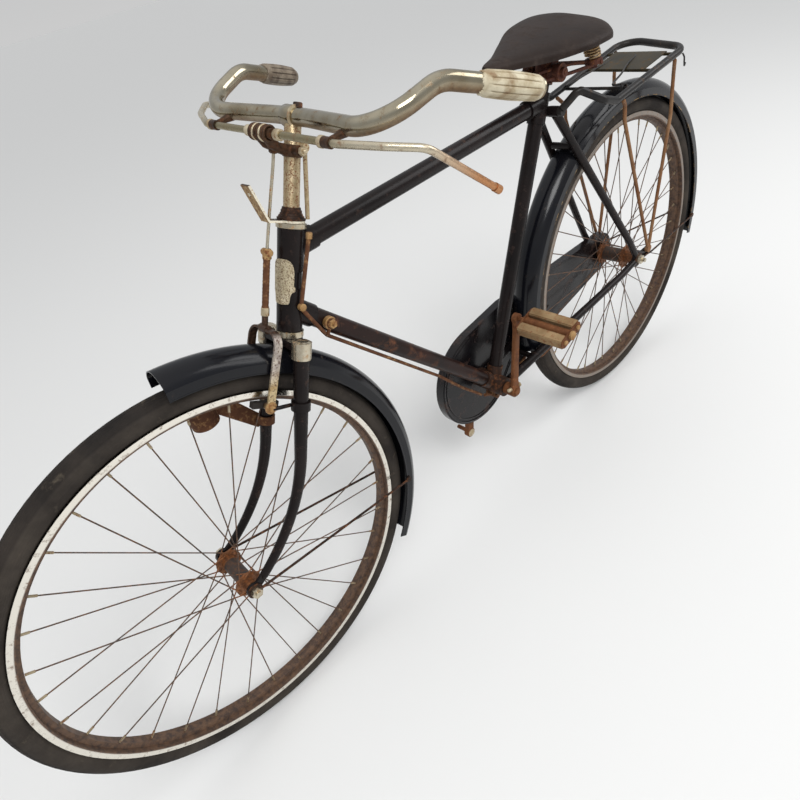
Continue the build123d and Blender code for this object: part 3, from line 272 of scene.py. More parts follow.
def tyre_finish(name, axle):
    """Dusty tyre: plain walls with faint rings, and a ribbed tread."""
    material, tree = new_material(name)
    radius, across = wheel_radius(tree, axle)
    fine = noise(tree, 60.0, 8.0, 0.65)
    dust = fade(tree, noise(tree, 14.0, 5.0), 0.35, 0.68)
    wall = blend(tree, dust, (0.02, 0.0165, 0.0145), (0.052, 0.043, 0.035))
    worn = blend(tree, dust, (0.014, 0.012, 0.011), (0.038, 0.031, 0.026))
    tread = rise(tree, radius, *tyre_shoulder)
    tone = blend(tree, tread, wall, worn)
    mud = fade(tree, fine, 0.6, 0.74, 0.0, 0.7)
    ribs = sums(tree, "SINE", sums(tree, "MULTIPLY", across, 2 * pi / tread_rib))
    rings = sums(tree, "SINE", sums(tree, "MULTIPLY", radius, 2 * pi / wall_ring))
    height = blend(tree, tread, sums(tree, "MULTIPLY", rings, 0.15), ribs)
    height = sums(tree, "ADD", height, sums(tree, "MULTIPLY", fine, 0.8))
    return cover(material, blend(tree, mud, tone, (0.1, 0.083, 0.062)),
                 fade(tree, fine, 0.3, 0.7, 0.72, 0.92), 0.0, height, 0.45, 0.14)


def grip_finish(name, tone, other, stain, groove):
    """Old grip: two tones with lengthwise stains, and darker in the grooves, more so where the stains are."""
    material, tree = new_material(name)
    carried = tree.nodes.new("ShaderNodeAttribute")
    carried.attribute_name = "groove"
    fine = noise(tree, 220.0, 8.0, 0.7)
    body = mottle(tree, noise(tree, 60.0, 6.0, 0.6, (1.0, 0.25, 1.0)), 0.38, 0.6, tone, other)
    marks = fade(tree, noise(tree, 35.0, 6.0, 0.65, (1.0, 0.3, 1.0)), 0.52, 0.66)
    body = blend(tree, marks, body, stain)
    # The grooves are made darker, more so where the stains are.
    groove_darkening = sums(tree, "MULTIPLY", carried.outputs["Fac"], fade(tree, marks, 0.0, 1.0, 0.55, 1.0))
    return cover(material, blend(tree, groove_darkening, body, groove), fade(tree, fine, 0.35, 0.65, 0.36, 0.62), 0.0,
                 fine, 0.25, 0.3)


def stirrup_finish(name):
    """Stirrup: its left leg pale and speckled with a golden foot, its bow and right leg dark brown."""
    material, tree = new_material(name)
    place = place_of(tree)
    fine = noise(tree, 330.0, 8.0, 0.7)
    broad = noise(tree, 70.0, 5.0)
    pale = rise(tree, place["Y"], 0.024, 0.034)
    foot = rise(tree, place["Z"], at(0, 640).z, at(0, 665).z, 1.0, 0.0)
    grey = mottle(tree, broad, 0.4, 0.6, (0.34, 0.29, 0.26), (0.6, 0.54, 0.46))
    gold = mottle(tree, broad, 0.4, 0.6, (0.42, 0.29, 0.13), (0.56, 0.44, 0.25))
    tone = blend(tree, pale, (0.055, 0.03, 0.018), blend(tree, foot, grey, gold))
    specks = fade(tree, fine, 0.53, 0.59)
    return cover(material, blend(tree, specks, tone, (0.09, 0.04, 0.022)),
                 fade(tree, fine, 0.45, 0.62, 0.34, 0.75), fade(tree, specks, 0.0, 1.0, 0.6, 0.0), fine, 0.25)


def hub_finish(name, axle, hub_radius):
    """Dark spokes with a hub whose flanges are orange with rust and whose barrel is dark."""
    material, tree = new_material(name)
    radius, across = wheel_radius(tree, axle)
    fine = noise(tree, 140.0, 8.0, 0.7)
    near = rise(tree, radius, hub_radius, hub_radius + 0.002, 1.0, 0.0)
    outside = rise(tree, sums(tree, "ABSOLUTE", across), 0.022, 0.025)
    spokes = mottle(tree, fine, 0.42, 0.62, (0.055, 0.04, 0.032), (0.17, 0.085, 0.045))
    flange = mottle(tree, fine, 0.4, 0.6, (0.26, 0.1, 0.035), (0.11, 0.045, 0.02))
    barrel = mottle(tree, fine, 0.45, 0.62, (0.045, 0.034, 0.029), (0.12, 0.06, 0.035))
    return cover(material, blend(tree, near, spokes, blend(tree, outside, barrel, flange)),
                 fade(tree, fine, 0.35, 0.65, 0.38, 0.8), 0.35, fine, 0.3)


def bracket_finish(name):
    """Lamp bracket: dark on its upward faces, a painted highlight flecked with rust on the faces turned to
    either side, and golden with rust on the upright's face.
    """
    material, tree = new_material(name)
    facing = facing_of(tree)
    fine = noise(tree, 200.0, 8.0, 0.7)
    up = fade(tree, facing["Z"], 0.8, 0.88)
    # Faces turned to either side get a painted highlight: a pale steel colour flecked with rust.
    side = fade(tree, sums(tree, "ABSOLUTE", facing["Y"]), 0.35, 0.6)
    gold = mottle(tree, fine, 0.42, 0.6, (0.4, 0.26, 0.1), (0.2, 0.1, 0.04))
    edge = mottle(tree, fine, 0.54, 0.64, (0.8, 0.74, 0.6), (0.3, 0.16, 0.07))
    dark = mottle(tree, fine, 0.42, 0.6, (0.035, 0.022, 0.016), (0.09, 0.05, 0.03))
    return cover(material, blend(tree, up, blend(tree, side, gold, edge), dark),
                 fade(tree, fine, 0.35, 0.65, 0.28, 0.7), 0.55, fine, 0.25)


def lever_finish(name):
    """Lever metal: dull silver on the shaft, brighter along the blade, copper at the tip."""
    material, tree = new_material(name)
    place = place_of(tree)
    back = spread(tree, place["X"], at(285, 0).x, at(215, 0).x)
    fine = noise(tree, 90.0, 8.0, 0.7)
    outward = spread(tree, sums(tree, "ABSOLUTE", place["Y"]), 0.12, 0.2)
    shaft = fade(tree, outward, 0.0, 0.6, (0.26, 0.22, 0.13), (0.56, 0.5, 0.38))
    blade = blend(tree, back, shaft, (0.46, 0.22, 0.1))
    worn = fade(tree, fine, 0.56, 0.7)
    return cover(material, blend(tree, worn, blade, (0.17, 0.08, 0.035)),
                 fade(tree, fine, 0.45, 0.7, 0.26, 0.7), fade(tree, worn, 0.0, 1.0, 0.9, 0.2), fine, 0.2)


rust = ((0.1, 0.035, 0.015), (0.27, 0.105, 0.04))
pale_rust = ((0.24, 0.12, 0.05), (0.46, 0.27, 0.12))
print("node helpers ready")

# %% [markdown]
# The finishes: dull black enamel that has gone brown and purple on the tubes, deeper gloss on the mudguards
# and chain case, chrome with pits and rust specks, plain rusty steel, dusty tyres, worn rubber and leather.

# %% Finishes
finishes = {
    "tube": worn_coat(
        "tube_enamel", (0.0065, 0.005, 0.005), (0.013, 0.009, 0.0085),
        ((0.035, 0.02, 0.015), (0.07, 0.035, 0.022)), 0.58, 0.76, 0.26, size=60.0),
    "down_tube": worn_coat(
        "down_tube_enamel", (0.024, 0.0095, 0.007), (0.009, 0.006, 0.0055),
        ((0.11, 0.042, 0.022), (0.17, 0.07, 0.035)), 0.52, 0.72, 0.34, size=40.0),
    "guard": worn_coat(
        "guard_enamel", (0.0035, 0.004, 0.0065), (0.006, 0.006, 0.0075),
        ((0.03, 0.021, 0.018), (0.06, 0.04, 0.026)), 0.62, 0.8, 0.17, size=35.0, relief=0.12, shine=0.28),
    "case": worn_coat(
        "case_enamel", (0.0045, 0.0042, 0.0055), (0.011, 0.008, 0.008),
        ((0.05, 0.028, 0.022), (0.09, 0.045, 0.03)), 0.56, 0.74, 0.22, size=30.0, shine=0.3),
    # The bar's rust-brown underside is partly rust and partly painted shade.
    "bar_chrome": worn_coat(
        "bar_chrome", (0.42, 0.38, 0.29), (0.25, 0.21, 0.14), ((0.1, 0.05, 0.022), (0.22, 0.13, 0.06)),
        0.56, 0.68, 0.13, 1.0, 0.3, size=70.0, relief=0.12, worn_gloss=0.55, underside_rust_and_shade=0.9),
    "stem_chrome": worn_coat(
        "stem_speckled", (0.4, 0.31, 0.18), (0.56, 0.46, 0.3), rust, 0.52, 0.58, 0.36, 0.8, 0.0,
        size=420.0, relief=0.35, worn_gloss=0.8),
    "bridle": worn_coat(
        "bridle_brown", (0.04, 0.024, 0.016), (0.085, 0.046, 0.026),
        ((0.05, 0.02, 0.01), (0.14, 0.06, 0.026)), 0.48, 0.62, 0.4, 0.5, size=120.0, relief=0.35),
    "bright": worn_coat(
        "bright_steel", (0.62, 0.56, 0.44), (0.42, 0.36, 0.26), pale_rust, 0.54, 0.66, 0.22, 0.9, 0.2,
        size=120.0, relief=0.2),
    "rust": worn_coat(
        "rusty_steel", (0.075, 0.03, 0.015), (0.13, 0.055, 0.026), pale_rust, 0.52, 0.72, 0.72, 0.0, 0.0,
        size=120.0, relief=0.6, worn_gloss=0.85),
    "crank": worn_coat(
        "crank_rust", (0.1, 0.036, 0.014), (0.165, 0.068, 0.028), rust, 0.48, 0.64, 0.6, 0.15, 0.0,
        size=100.0, relief=0.5),
    "dark_rust": worn_coat(
        "dark_rusty_steel", (0.02, 0.013, 0.01), (0.042, 0.022, 0.015), rust, 0.5, 0.7, 0.5, 0.2, 0.0,
        size=110.0, relief=0.4),
    "carrier": worn_coat(
        "carrier_enamel", (0.011, 0.011, 0.012), (0.028, 0.024, 0.021),
        ((0.08, 0.05, 0.034), (0.15, 0.09, 0.05)), 0.58, 0.74, 0.3, size=60.0),
    "strut": worn_coat(
        "strut_rust", (0.15, 0.062, 0.026), (0.27, 0.155, 0.08), rust, 0.5, 0.66, 0.7, size=70.0,
        relief=0.4),
    "black_rubber": worn_coat(
        "black_rubber", (0.02, 0.018, 0.017), (0.035, 0.03, 0.027), rust, 0.66, 0.8, 0.7, size=90.0),
    "pedal_rubber": worn_coat(
        "pedal_rubber", (0.2, 0.125, 0.06), (0.34, 0.235, 0.125), rust, 0.5, 0.66, 0.85, size=110.0,
        relief=0.5),
    "cream_grip": grip_finish(
        "cream_grip", (0.4, 0.33, 0.21), (0.58, 0.52, 0.38), (0.24, 0.155, 0.08), (0.22, 0.14, 0.07)),
    "brown_grip": grip_finish(
        "brown_grip", (0.15, 0.115, 0.08), (0.24, 0.195, 0.145), (0.075, 0.048, 0.032),
        (0.018, 0.012, 0.009)),
    "leather": worn_coat(
        "saddle_leather", (0.0155, 0.0092, 0.007), (0.029, 0.0185, 0.0145),
        ((0.058, 0.041, 0.033), (0.009, 0.006, 0.005)), 0.5, 0.74, 0.5, size=38.0, relief=0.5),
    "spring": worn_coat(
        "spring_steel", (0.26, 0.165, 0.08), (0.46, 0.34, 0.19), rust, 0.54, 0.66, 0.4, 0.7, 0.1,
        size=140.0, relief=0.3),
    "nipple": worn_coat(
        "nipple_brass", (0.3, 0.24, 0.15), (0.45, 0.38, 0.26), rust, 0.5, 0.62, 0.4, 0.7, 0.1, size=200.0,
        relief=0.2),
    "collar": worn_coat(
        "cream_collar", (0.6, 0.52, 0.37), (0.36, 0.27, 0.16), rust, 0.56, 0.68, 0.36, 0.6, 0.0,
        size=160.0, relief=0.3),
    "badge": worn_coat(
        "badge_brass", (0.52, 0.44, 0.29), (0.64, 0.56, 0.4), ((0.06, 0.03, 0.015), (0.14, 0.07, 0.03)),
        0.52, 0.56, 0.42, 0.6, size=520.0, relief=0.4),
    "red_rust": worn_coat(
        "red_rust", (0.06, 0.022, 0.016), (0.12, 0.045, 0.03), rust, 0.5, 0.66, 0.55, 0.2, 0.0,
        size=110.0, relief=0.45),
    "edge": worn_coat(
        "guard_edge_enamel", (0.008, 0.007, 0.007), (0.03, 0.02, 0.014),
        ((0.22, 0.13, 0.05), (0.38, 0.25, 0.11)), 0.5, 0.58, 0.35, 0.1, size=55.0),
    "plate": worn_coat(
        "carrier_plate_steel", (0.03, 0.025, 0.015), (0.055, 0.042, 0.022),
        ((0.09, 0.05, 0.022), (0.15, 0.09, 0.04)), 0.54, 0.7, 0.42, 0.3, size=70.0),
    "stirrup": stirrup_finish("stirrup_steel"),
    "gold": worn_coat(
        "golden_rust", (0.3, 0.165, 0.06), (0.5, 0.33, 0.16), rust, 0.48, 0.62, 0.5, 0.4, 0.0,
        size=160.0, relief=0.45),
    "front_hub": hub_finish("front_hub_steel", front_axle, 0.03),
    "rear_hub": hub_finish("rear_hub_steel", rear_axle, 0.034),
    "bracket": bracket_finish("lamp_bracket_steel"),
    # The front rim's lip gets the full painted highlight line, and the rear rim's lip only a small share.
    "front_rim": rim_finish("front_rim_chrome", front_axle, 1.0),
    "rear_rim": rim_finish("rear_rim_chrome", rear_axle, 0.22),
    "front_tyre": tyre_finish("front_tyre_rubber", front_axle),
    "rear_tyre": tyre_finish("rear_tyre_rubber", rear_axle),
    "lever": lever_finish("lever_metal"),
}
node_finish = {
    "tube": "head_tube top_tube seat_tube seat_lug chain_stays seat_stays stay_bridges fork_crown fork_clips "
            "fork_blade_left fork_blade_right",
    "bright": "head_cups rear_axle crown_caps front_brake_rod front_axle",
    "dark_rust": "bottom_bracket seat_post saddle_rails rear_guard_stays front_guard_stays headset_nut",
    "rust": "saddle_springs rear_brake_linkage rear_brake_stirrup dynamo",
    "crank": "crank_left crank_right pedal_cage_left",
    "guard": "rear_mudguard front_mudguard",
    "lever": "lever_left lever_right",
    "black_rubber": "rear_brake_blocks front_brake_blocks",
    "stem_chrome": "stem rear_brake_upper_rod",
    "badge": "head_badge", "down_tube": "down_tube", "red_rust": "saddle_clip", "leather": "saddle_cover",
    "case": "chain_case", "carrier": "carrier_hoop", "plate": "carrier_plate", "strut": "carrier_struts",
    "bracket": "lamp_bracket", "bar_chrome": "handlebar", "cream_grip": "grip_left",
    "brown_grip": "grip_right", "bridle": "lever_mounts", "stirrup": "front_brake_stirrup",
    "front_tyre": "front_tyre", "front_rim": "front_rim", "front_hub": "front_hub", "rear_tyre": "rear_tyre",
    "rear_rim": "rear_rim", "rear_hub": "rear_hub", "pedal_rubber": "pedal_rubbers_left",
}
for finish, names in node_finish.items():
    for name in names.split():
        for slot in nodes[name].material_slots:
            slot.material = finishes[finish]
print("finished nodes", sum(len(names.split()) for names in node_finish.values()))

# %% [markdown]
# Small pieces are made in mesh code. Three shapes cover most of them: a wire along a line of points, a turned
# piece from a profile of places along its axis and radii, and a nut, which is a turned piece with six sides.
# Their corners lie in rings, and a shared function makes the faces between the rings.

# %% Shape helpers


def piece(name, parts, finish, body, hides=()):
    """One mesh object from a list of (corners, faces); hides names the nodes that it stands for."""
    corners, faces = [], []
    for some_corners, some_faces in parts:
        first = len(corners)
        corners += [tuple(corner) for corner in some_corners]
        faces += [tuple(first + index for index in face) for face in some_faces]
    mesh = bpy.data.meshes.new(name)
    mesh.from_pydata(corners, [], faces)
    work = bmesh.new()
    work.from_mesh(mesh)
    bmesh.ops.remove_doubles(work, verts=work.verts, dist=0.00001)
    bmesh.ops.recalc_face_normals(work, faces=work.faces)
    work.to_mesh(mesh)
    work.free()
    for face in mesh.polygons:
        face.use_smooth = True
    mesh.set_sharp_from_angle(angle=radians(38))
    mesh.materials.append(finishes[finish])
    obj = placed(name, mesh)
    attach(obj, body)
    if hides:
        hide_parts(*hides)
    return obj


def side_ways(way):
    """Two directions square to a direction."""
    way = Vector(way).normalized()
    helper = Vector((0, 0, 1)) if abs(way.z) < 0.9 else Vector((1, 0, 0))
    first = way.cross(helper).normalized()
    return first, way.cross(first)


def level_way(angle):
    """Direction in the bicycle's middle plane, by its angle above straight ahead in degrees."""
    return Vector((cos(radians(angle)), 0, sin(radians(angle))))


def circle(sides):
    """Angles round a circle."""
    return [2 * pi * side / sides for side in range(sides)]


def squarish(angle, power):
    """Cosine and sine of an angle, pushed out towards a square with rounded corners."""
    return [copysign(abs(part) ** power, part) for part in (cos(angle), sin(angle))]


def skin(rings, sides, closed=False):
    """Faces between rings of corners, with an end cap on either side unless the last ring meets the first."""
    faces = []
    for ring in range(rings if closed else rings - 1):
        low, high = ring * sides, (ring + 1) % rings * sides
        for side in range(sides):
            other = (side + 1) % sides
            faces.append((low + side, low + other, high + other, high + side))
    if not closed:
        faces += [tuple(reversed(range(sides))), tuple(range((rings - 1) * sides, rings * sides))]
    return faces


def sheet_skin(rows, columns):
    """Faces of a sheet whose two sides are grids of corners, one after the other, and of its edges."""
    faces = []
    shift = rows * columns
    for row in range(rows - 1):
        for column in range(columns - 1):
            corner = row * columns + column
            quad = (corner, corner + 1, corner + columns + 1, corner + columns)
            faces += [quad, tuple(shift + index for index in reversed(quad))]
    border = list(range(columns)) + [row * columns + columns - 1 for row in range(1, rows)]
    border += list(range(shift - 2, shift - columns - 1, -1))
    border += [row * columns for row in range(rows - 2, 0, -1)]
    for corner, other in zip(border, border[1:] + border[:1]):
        faces.append((corner, shift + corner, shift + other, other))
    return faces


def wire(points, radius, sides=12, closed=False):
    """Round wire along points, in metres, with a radius in millimetres or one for each point."""
    points = [Vector(point) for point in points]
    count = len(points)
    radii = radius if isinstance(radius, (list, tuple)) else [radius] * count
    corners = []
    first = None
    for index, point in enumerate(points):
        before = points[index - 1] if closed or index else point
        after = points[(index + 1) % count] if closed or index < count - 1 else point
        way = (after - before).normalized()
        if first is None:
            first = side_ways(way)[0]
        first = (first - way * first.dot(way)).normalized()
        second = way.cross(first)
        for angle in circle(sides):
            corners.append(point + (first * cos(angle) + second * sin(angle)) * radii[index] / 1000)
    return corners, skin(count, sides, closed)


def turned(start, way, profile, sides=28):
    """Turned piece: profile lists (along, radius) in millimetres from start along way."""
    way = Vector(way).normalized()
    first, second = side_ways(way)
    corners = []
    for along, radius in profile:
        for angle in circle(sides):
            out = first * cos(angle) + second * sin(angle)
            corners.append(Vector(start) + way * along / 1000 + out * radius / 1000)
    return corners, skin(len(profile), sides)


def nut(start, way, radius, tall):
    """Hexagon nut with a chamfered top."""
    return turned(start, way, [(0, radius), (tall * 0.8, radius), (tall, radius * 0.86)], 6)


def curve_between(a, b, c, d, t):
    """Catmull-Rom curve's point at t from b, at 0, to c, at 1."""
    return 0.5 * (2 * b + (c - a) * t + (2 * a - 5 * b + 4 * c - d) * t * t + (3 * b - a - 3 * c + d) * t**3)


def smooth_line(points, steps=12):
    """Catmull-Rom curve through points."""
    points = [Vector(point) for point in points]
    ends = [points[0] * 2 - points[1]] + points + [points[-1] * 2 - points[-2]]
    line = []
    for index in range(1, len(ends) - 2):
        line += [curve_between(*ends[index - 1:index + 3], share / steps) for share in range(steps)]
    return line + [points[-1]]


print("shape helpers ready")

# %% [markdown]
# The leather top is broad and almost flat at the back, narrow at the nose, and its edges turn down. It has
# sagged to the left over the years. The sections below give its half width, ridge and lower edge, and the
# surface through them is given the leather's thickness.

# %% Leather top
saddle_yaw = radians(0.6)
saddle_roll = radians(-10.3)
leather_sections = (
    (-90.0, 6.0, 891.5, 885.5),
    (-104.0, 15.0, 892.5, 880.0),
    (-142.0, 30.0, 893.5, 878.0),
    (-202.0, 61.0, 897.5, 878.0),
    (-262.0, 87.5, 901.8, 883.0),
    (-322.0, 91.5, 905.0, 884.0),
    (-350.0, 76.0, 904.5, 880.0),
    (-360.0, 62.0, 901.0, 882.0),
)
leather_thickness = 4.2
leather_power = 3.0


def lean(point):
    """Place of a saddle point once the top has turned and leaned to the left."""
    return Matrix.Rotation(saddle_yaw, 3, "Z") @ (Matrix.Rotation(saddle_roll, 3, "X") @ Vector(point))


def section_at(place):
    """Section of the leather at a place from 0, the nose, to the last section."""
    low = min(int(place), len(leather_sections) - 2)
    near = [np.array(leather_sections[min(max(low + step, 0), len(leather_sections) - 1)])
            for step in (-1, 0, 1, 2)]
    return curve_between(*near, place - low)


rows, columns = 72, 64
outer = np.zeros((rows, columns, 3))
for row in range(rows):
    x, wide, ridge, edge = section_at(row / (rows - 1) * (len(leather_sections) - 1))
    for column in range(columns):
        angle = -pi / 2 + pi * column / (columns - 1)
        y = wide * sin(angle)
        share = max(0.0, 1 - abs(sin(angle)) ** leather_power) ** (1 / leather_power)
        outer[row, column] = at(x, edge + (ridge - edge) * share, y)
along = np.gradient(outer, axis=0)
sideways = np.gradient(outer, axis=1)
normal = np.cross(along, sideways)
normal /= np.linalg.norm(normal, axis=2, keepdims=True) + 1e-12
normal *= np.sign(normal[rows // 2, columns // 2, 2])
inner = outer - normal * leather_thickness / 1000
grid = [lean(point) for point in outer.reshape(-1, 3)] + [lean(point) for point in inner.reshape(-1, 3)]
leather = piece("leather_top", [(grid, sheet_skin(rows, columns))], "leather", "frame",
                ["saddle_cover"])
print("leather faces", len(leather.data.polygons))

# %% [markdown]
# Below the leather: two pairs of wires from the nose to the springs, the rod between the springs, the steel
# strip that carries the back edge, and two coil springs whose tops lean with the leather.

# %% Saddle wires and springs
spring_x, spring_y = -332.0, 46.0
spring_low, spring_high = 838.0, 872.0
coil_turns = 5


def leather_height(x, y):
    """Height of the outside of the leather, before it leans."""
    places = [step / 20 for step in range(20 * (len(leather_sections) - 1) + 1)]
    found = min((section_at(place) for place in places), key=lambda values: abs(values[0] - x))
    share = max(0.0, 1 - abs(y / found[1]) ** leather_power) ** (1 / leather_power)
    return found[3] + (found[2] - found[3]) * share


underframe = []
for sign in (1, -1):
    for lift, apart in ((7.0, 0.0), (-7.0, 6.0)):
        route = [at(-106, 866 + lift, sign * 5), at(-150, 848 + lift, sign * (13 + apart / 2)),
                 at(-278, 836 + lift, sign * (29 + apart)),
                 at(spring_x, 830 + lift * 0.3, sign * (spring_y + apart))]
        line = [route[0]]
        for low, high in zip(route, route[1:]):
            line += [low.lerp(high, share) for share in (0.12, 0.5, 0.88)]
        line.append(route[-1])
        underframe.append(wire(line, 3.2, 12))
    underframe.append(turned(at(spring_x, 827, sign * spring_y), (0, 0, 1),
                             [(0, 9), (1.5, 15), (4, 16), (9, 16), (10.5, 14)]))
    underframe.append(nut(at(spring_x, 822, sign * spring_y), (0, 0, 1), 8, 5.5))
    top = lean(at(spring_x, spring_high, sign * spring_y))
    way = lean(at(spring_x, spring_high + 10, sign * spring_y)) - top
    underframe.append(turned(top, way, [(0, 14), (1.5, 15), (3.4, 15), (4, 6), (24, 5)]))
underframe.append(turned(at(-108, 852, 0), (0, 0, 1),
                         [(0, 6), (2, 8), (9, 8), (10, 6.5), (27, 6.5), (30, 5)]))
underframe.append(turned(at(spring_x, 831, -64), (0, 1, 0), [(0, 3), (1, 3.8), (127, 3.8), (128, 3)]))
strip = []
strip_rings, strip_half = 33, 76
for index in range(strip_rings):
    y = -strip_half + 2 * strip_half * index / (strip_rings - 1)
    for x, lift in ((-3, 0.0), (3, 0.0), (3, -3.0), (-3, -3.0)):
        strip.append(lean(at(spring_x + x, leather_height(spring_x, y) - leather_thickness - 0.5 + lift, y)))
underframe.append((strip, skin(strip_rings, 4)))
piece("saddle_underframe", underframe, "red_rust", "frame", ["saddle_rails"])

coils = []
for sign in (1, -1):
    line = []
    for step in range(coil_turns * 24 + 1):
        share = step / (coil_turns * 24)
        angle = 2 * pi * step / 24
        low = at(spring_x, spring_low + 2, sign * spring_y)
        high = lean(at(spring_x, spring_high - 3, sign * spring_y))
        centre = low.lerp(high, share)
        wide = 12.0 + 1.2 * cos(pi * (share - 0.5))
        line.append(centre + Vector((cos(angle), sin(angle), 0)) * wide / 1000)
    coils.append(wire(line, 2.0, 10))
piece("coil_springs", coils, "spring", "frame", ["saddle_springs"])
print("saddle wires and springs made")

# %% [markdown]
# The handlebar stands slightly tilted and turned in its stem, as on the real bicycle. The grips are barrels
# with lengthwise grooves, worn to a ragged edge where they start.

# %% Grips
bar_centre = steer(0, 0, 683)
bar_tilt = Matrix.Rotation(radians(-2.4), 3, head_ahead)
bar_turn = Matrix.Rotation(radians(2.2), 3, head_up)
grip_sides = 96


def askew(point):
    """Place of a handlebar point in the tilted and turned bar."""
    return bar_centre + bar_turn @ (bar_tilt @ (Vector(point) - bar_centre))


def grip(name, sign, finish, node, seed):
    """Barrel grip from its closed end to its ragged start, with grooves between soft ribs."""
    end = askew(at(102.3, 927, sign * 246.7))
    way = (askew(at(223, 970.7, sign * 202.3)) - end).normalized()
    first, second = side_ways(way)
    chance = np.random.default_rng(seed)
    ragged = np.cumsum(chance.normal(0, 1.6, grip_sides))
    ragged -= np.linspace(0, ragged[-1], grip_sides)
    ragged = 3.5 * ragged / np.abs(ragged).max()
    end_profile = [(-0.6, 0.3), (-0.4, 5.0), (0.6, 9.2), (3.5, 12.2), (8, 13.9)]
    barrel = [(8 + 4.6 * step, 13.9 + 1.3 * sin(pi * step / 16)) for step in range(1, 16)]
    stations = end_profile + barrel + [(80, 13.0), (84, 12.5), (85, 11.2), (76, 11.1)]
    corners, grooves = [], []
    for index, (along, radius) in enumerate(stations):
        for side, angle in enumerate(circle(grip_sides)):
            groove = max(0.0, cos(angle * 12)) ** 6 if 10 < along < 74 else 0.0
            grooves.append(groove)
            edge = ragged[side] * max(0.0, (along - 64) / 20) if index < len(stations) - 1 else 0.0
            out = first * cos(angle) + second * sin(angle)
            corners.append(end + way * (along + edge) / 1000 + out * (radius - 1.3 * groove) / 1000)
    open_skin = skin(len(stations), grip_sides)[:-1]
    obj = piece(name, [(corners, open_skin)], finish, "steering", [node])
    obj.data.attributes.new("groove", "FLOAT", "POINT").data.foreach_set("value", grooves)


grip("grip_cream", 1, "cream_grip", "grip_left", 3)
grip("grip_brown", -1, "brown_grip", "grip_right", 8)
print("grips made")

# %% [markdown]
# At the stem: the column, the narrow clamp round the bar with its bolt, and below it the bridle that carries
# the brake levers' shaft, with its springs, collars and the arm that is clamped to the column.

# %% Stem and bridle
bar_across = askew(bar_centre + left) - bar_centre
column = [turned(steer(0, 0, 448), head_up, [(0, 11.1), (224, 11.1), (229, 9)], 40)]
piece("stem_column", column, "stem_chrome", "steering", ["stem"])
clamp = [turned(bar_centre - bar_across * 0.014, bar_across,
                [(0, 11.2), (0, 13.0), (1.2, 13.6), (20, 13.6), (21, 13.2), (21, 11.2)], 48)]
piece("stem_clamp", clamp, "bar_chrome", "steering")
bolt = [turned(steer(-3, 6, 690), head_up, [(0, 7.0), (2, 7.0), (2, 5), (3.4, 5)], 24),
        nut(steer(-3, 6, 693.6), head_up, 6.0, 6.0)]
piece("stem_bolt", bolt, "dark_rust", "steering")
bands = [turned(bar_centre + bar_across * 6.4 / 1000, bar_across,
                [(0, 12.4), (0.4, 14.3), (1.5, 14.3), (1.9, 12.8)], 48),
         turned(steer(-3, 6, 691.9), head_up, [(0, 7.4), (1.3, 7.4), (1.6, 6)], 24)]
piece("stem_bands", bands, "collar", "steering")

shaft = askew(steer(42, 0, 660))


def ring_round(along, radius, thick):
    """Ring of wire round the levers' shaft."""
    first, second = side_ways(bar_across)
    middle = shaft + bar_across * along / 1000
    points = []
    for side in range(36):
        angle = pi * side / 18
        points.append(middle + (first * cos(angle) + second * sin(angle)) * radius / 1000
                      + bar_across * 0.0015 * side / 36)
    return wire(points, thick, 10, True)


bridle = [turned(shaft - bar_across * 0.027, bar_across, [(0, 5), (0, 6.6), (47, 6.6), (47, 5)], 24)]
bridle += [ring_round(place, 8.6, 1.9) for place in (-22, -18, -10, -4, 6, 11)]
bridle += [turned(steer(0, 0, 635), head_up,
                  [(0, 11.2), (0, 12.2), (1, 13), (14, 13), (15, 12.2), (15, 11.2)], 40),
           wire([steer(40, 6, 655), steer(34, 5, 649), steer(24, 2, 645), steer(12, 0, 643)],
                [7, 7, 6.5, 7.5], 14),
           wire([steer(40, -14, 655), steer(35, -9, 648), steer(26, -3, 645), steer(12, 0, 643)],
                [5.5, 5.5, 6, 7], 14),
           turned(steer(2, 8, 643), left, [(0, 7), (14, 7), (14.5, 4), (19, 4)], 20),
           turned(steer(26, -4, 637), head_up, [(0, 4), (2, 6), (9, 6), (12, 4)], 20)]
for place in (-121.0, 126.0):
    eye = shaft + bar_across * place / 1000
    hold = bar_centre + bar_across * place / 1000
    reach = (hold - eye).normalized()
    bridle.append(turned(eye - bar_across * 0.007, bar_across,
                         [(0, 4.6), (0, 6.4), (14, 6.4), (14, 4.6)], 24))
    arm = [eye + reach * 0.004, eye + reach * 0.014, hold - reach * 0.0125, hold - reach * 0.0095]
    bridle.append(wire(arm, [4.5, 4.2, 7.5, 9.0], 16))
piece("lever_bridle", bridle, "bridle", "steering", ["lever_mounts"])
bright_rings = [ring_round(place, 9.2, 1.5) for place in (-14, 1)]
bright_rings += [turned(shaft + bar_across * place / 1000, bar_across,
                        [(0, 4.7), (0, 6.2), (1.5, 7), (long - 1.5, 7), (long, 6.2), (long, 4.7)], 28)
                 for place, long in ((-38, 9), (26, 11), (-134, 6), (112, 8))]
bright_rings.append(nut(steer(2, 25, 643), left, 6.2, 5))
bright_rings.append(turned(steer(2, 30, 643), left, [(0, 3), (4, 3), (5, 2)], 14))
piece("bridle_rings", bright_rings, "collar", "steering")
print("stem and bridle made")

# %% [markdown]
# The head: the lock nut in tiers, the blank badge plate that bends round the tube, the front brake's rod
# with its joint, adjuster and ferrule, the stirrup's eyes, and the clamp and nuts of the rear linkage.

# %% Head and front brake
lock = [turned(steer(0, 0, 556.6), head_up,
               [(0, 19.6), (2.4, 19.6), (3.0, 18), (5.2, 17.4), (5.8, 16), (8.2, 15.4), (8.8, 14.4),
                (12, 14.4), (13, 13.2), (16, 12.6), (16.5, 11.4)], 48)]
piece("lock_nut", lock, "dark_rust", "steering", ["headset_nut"])

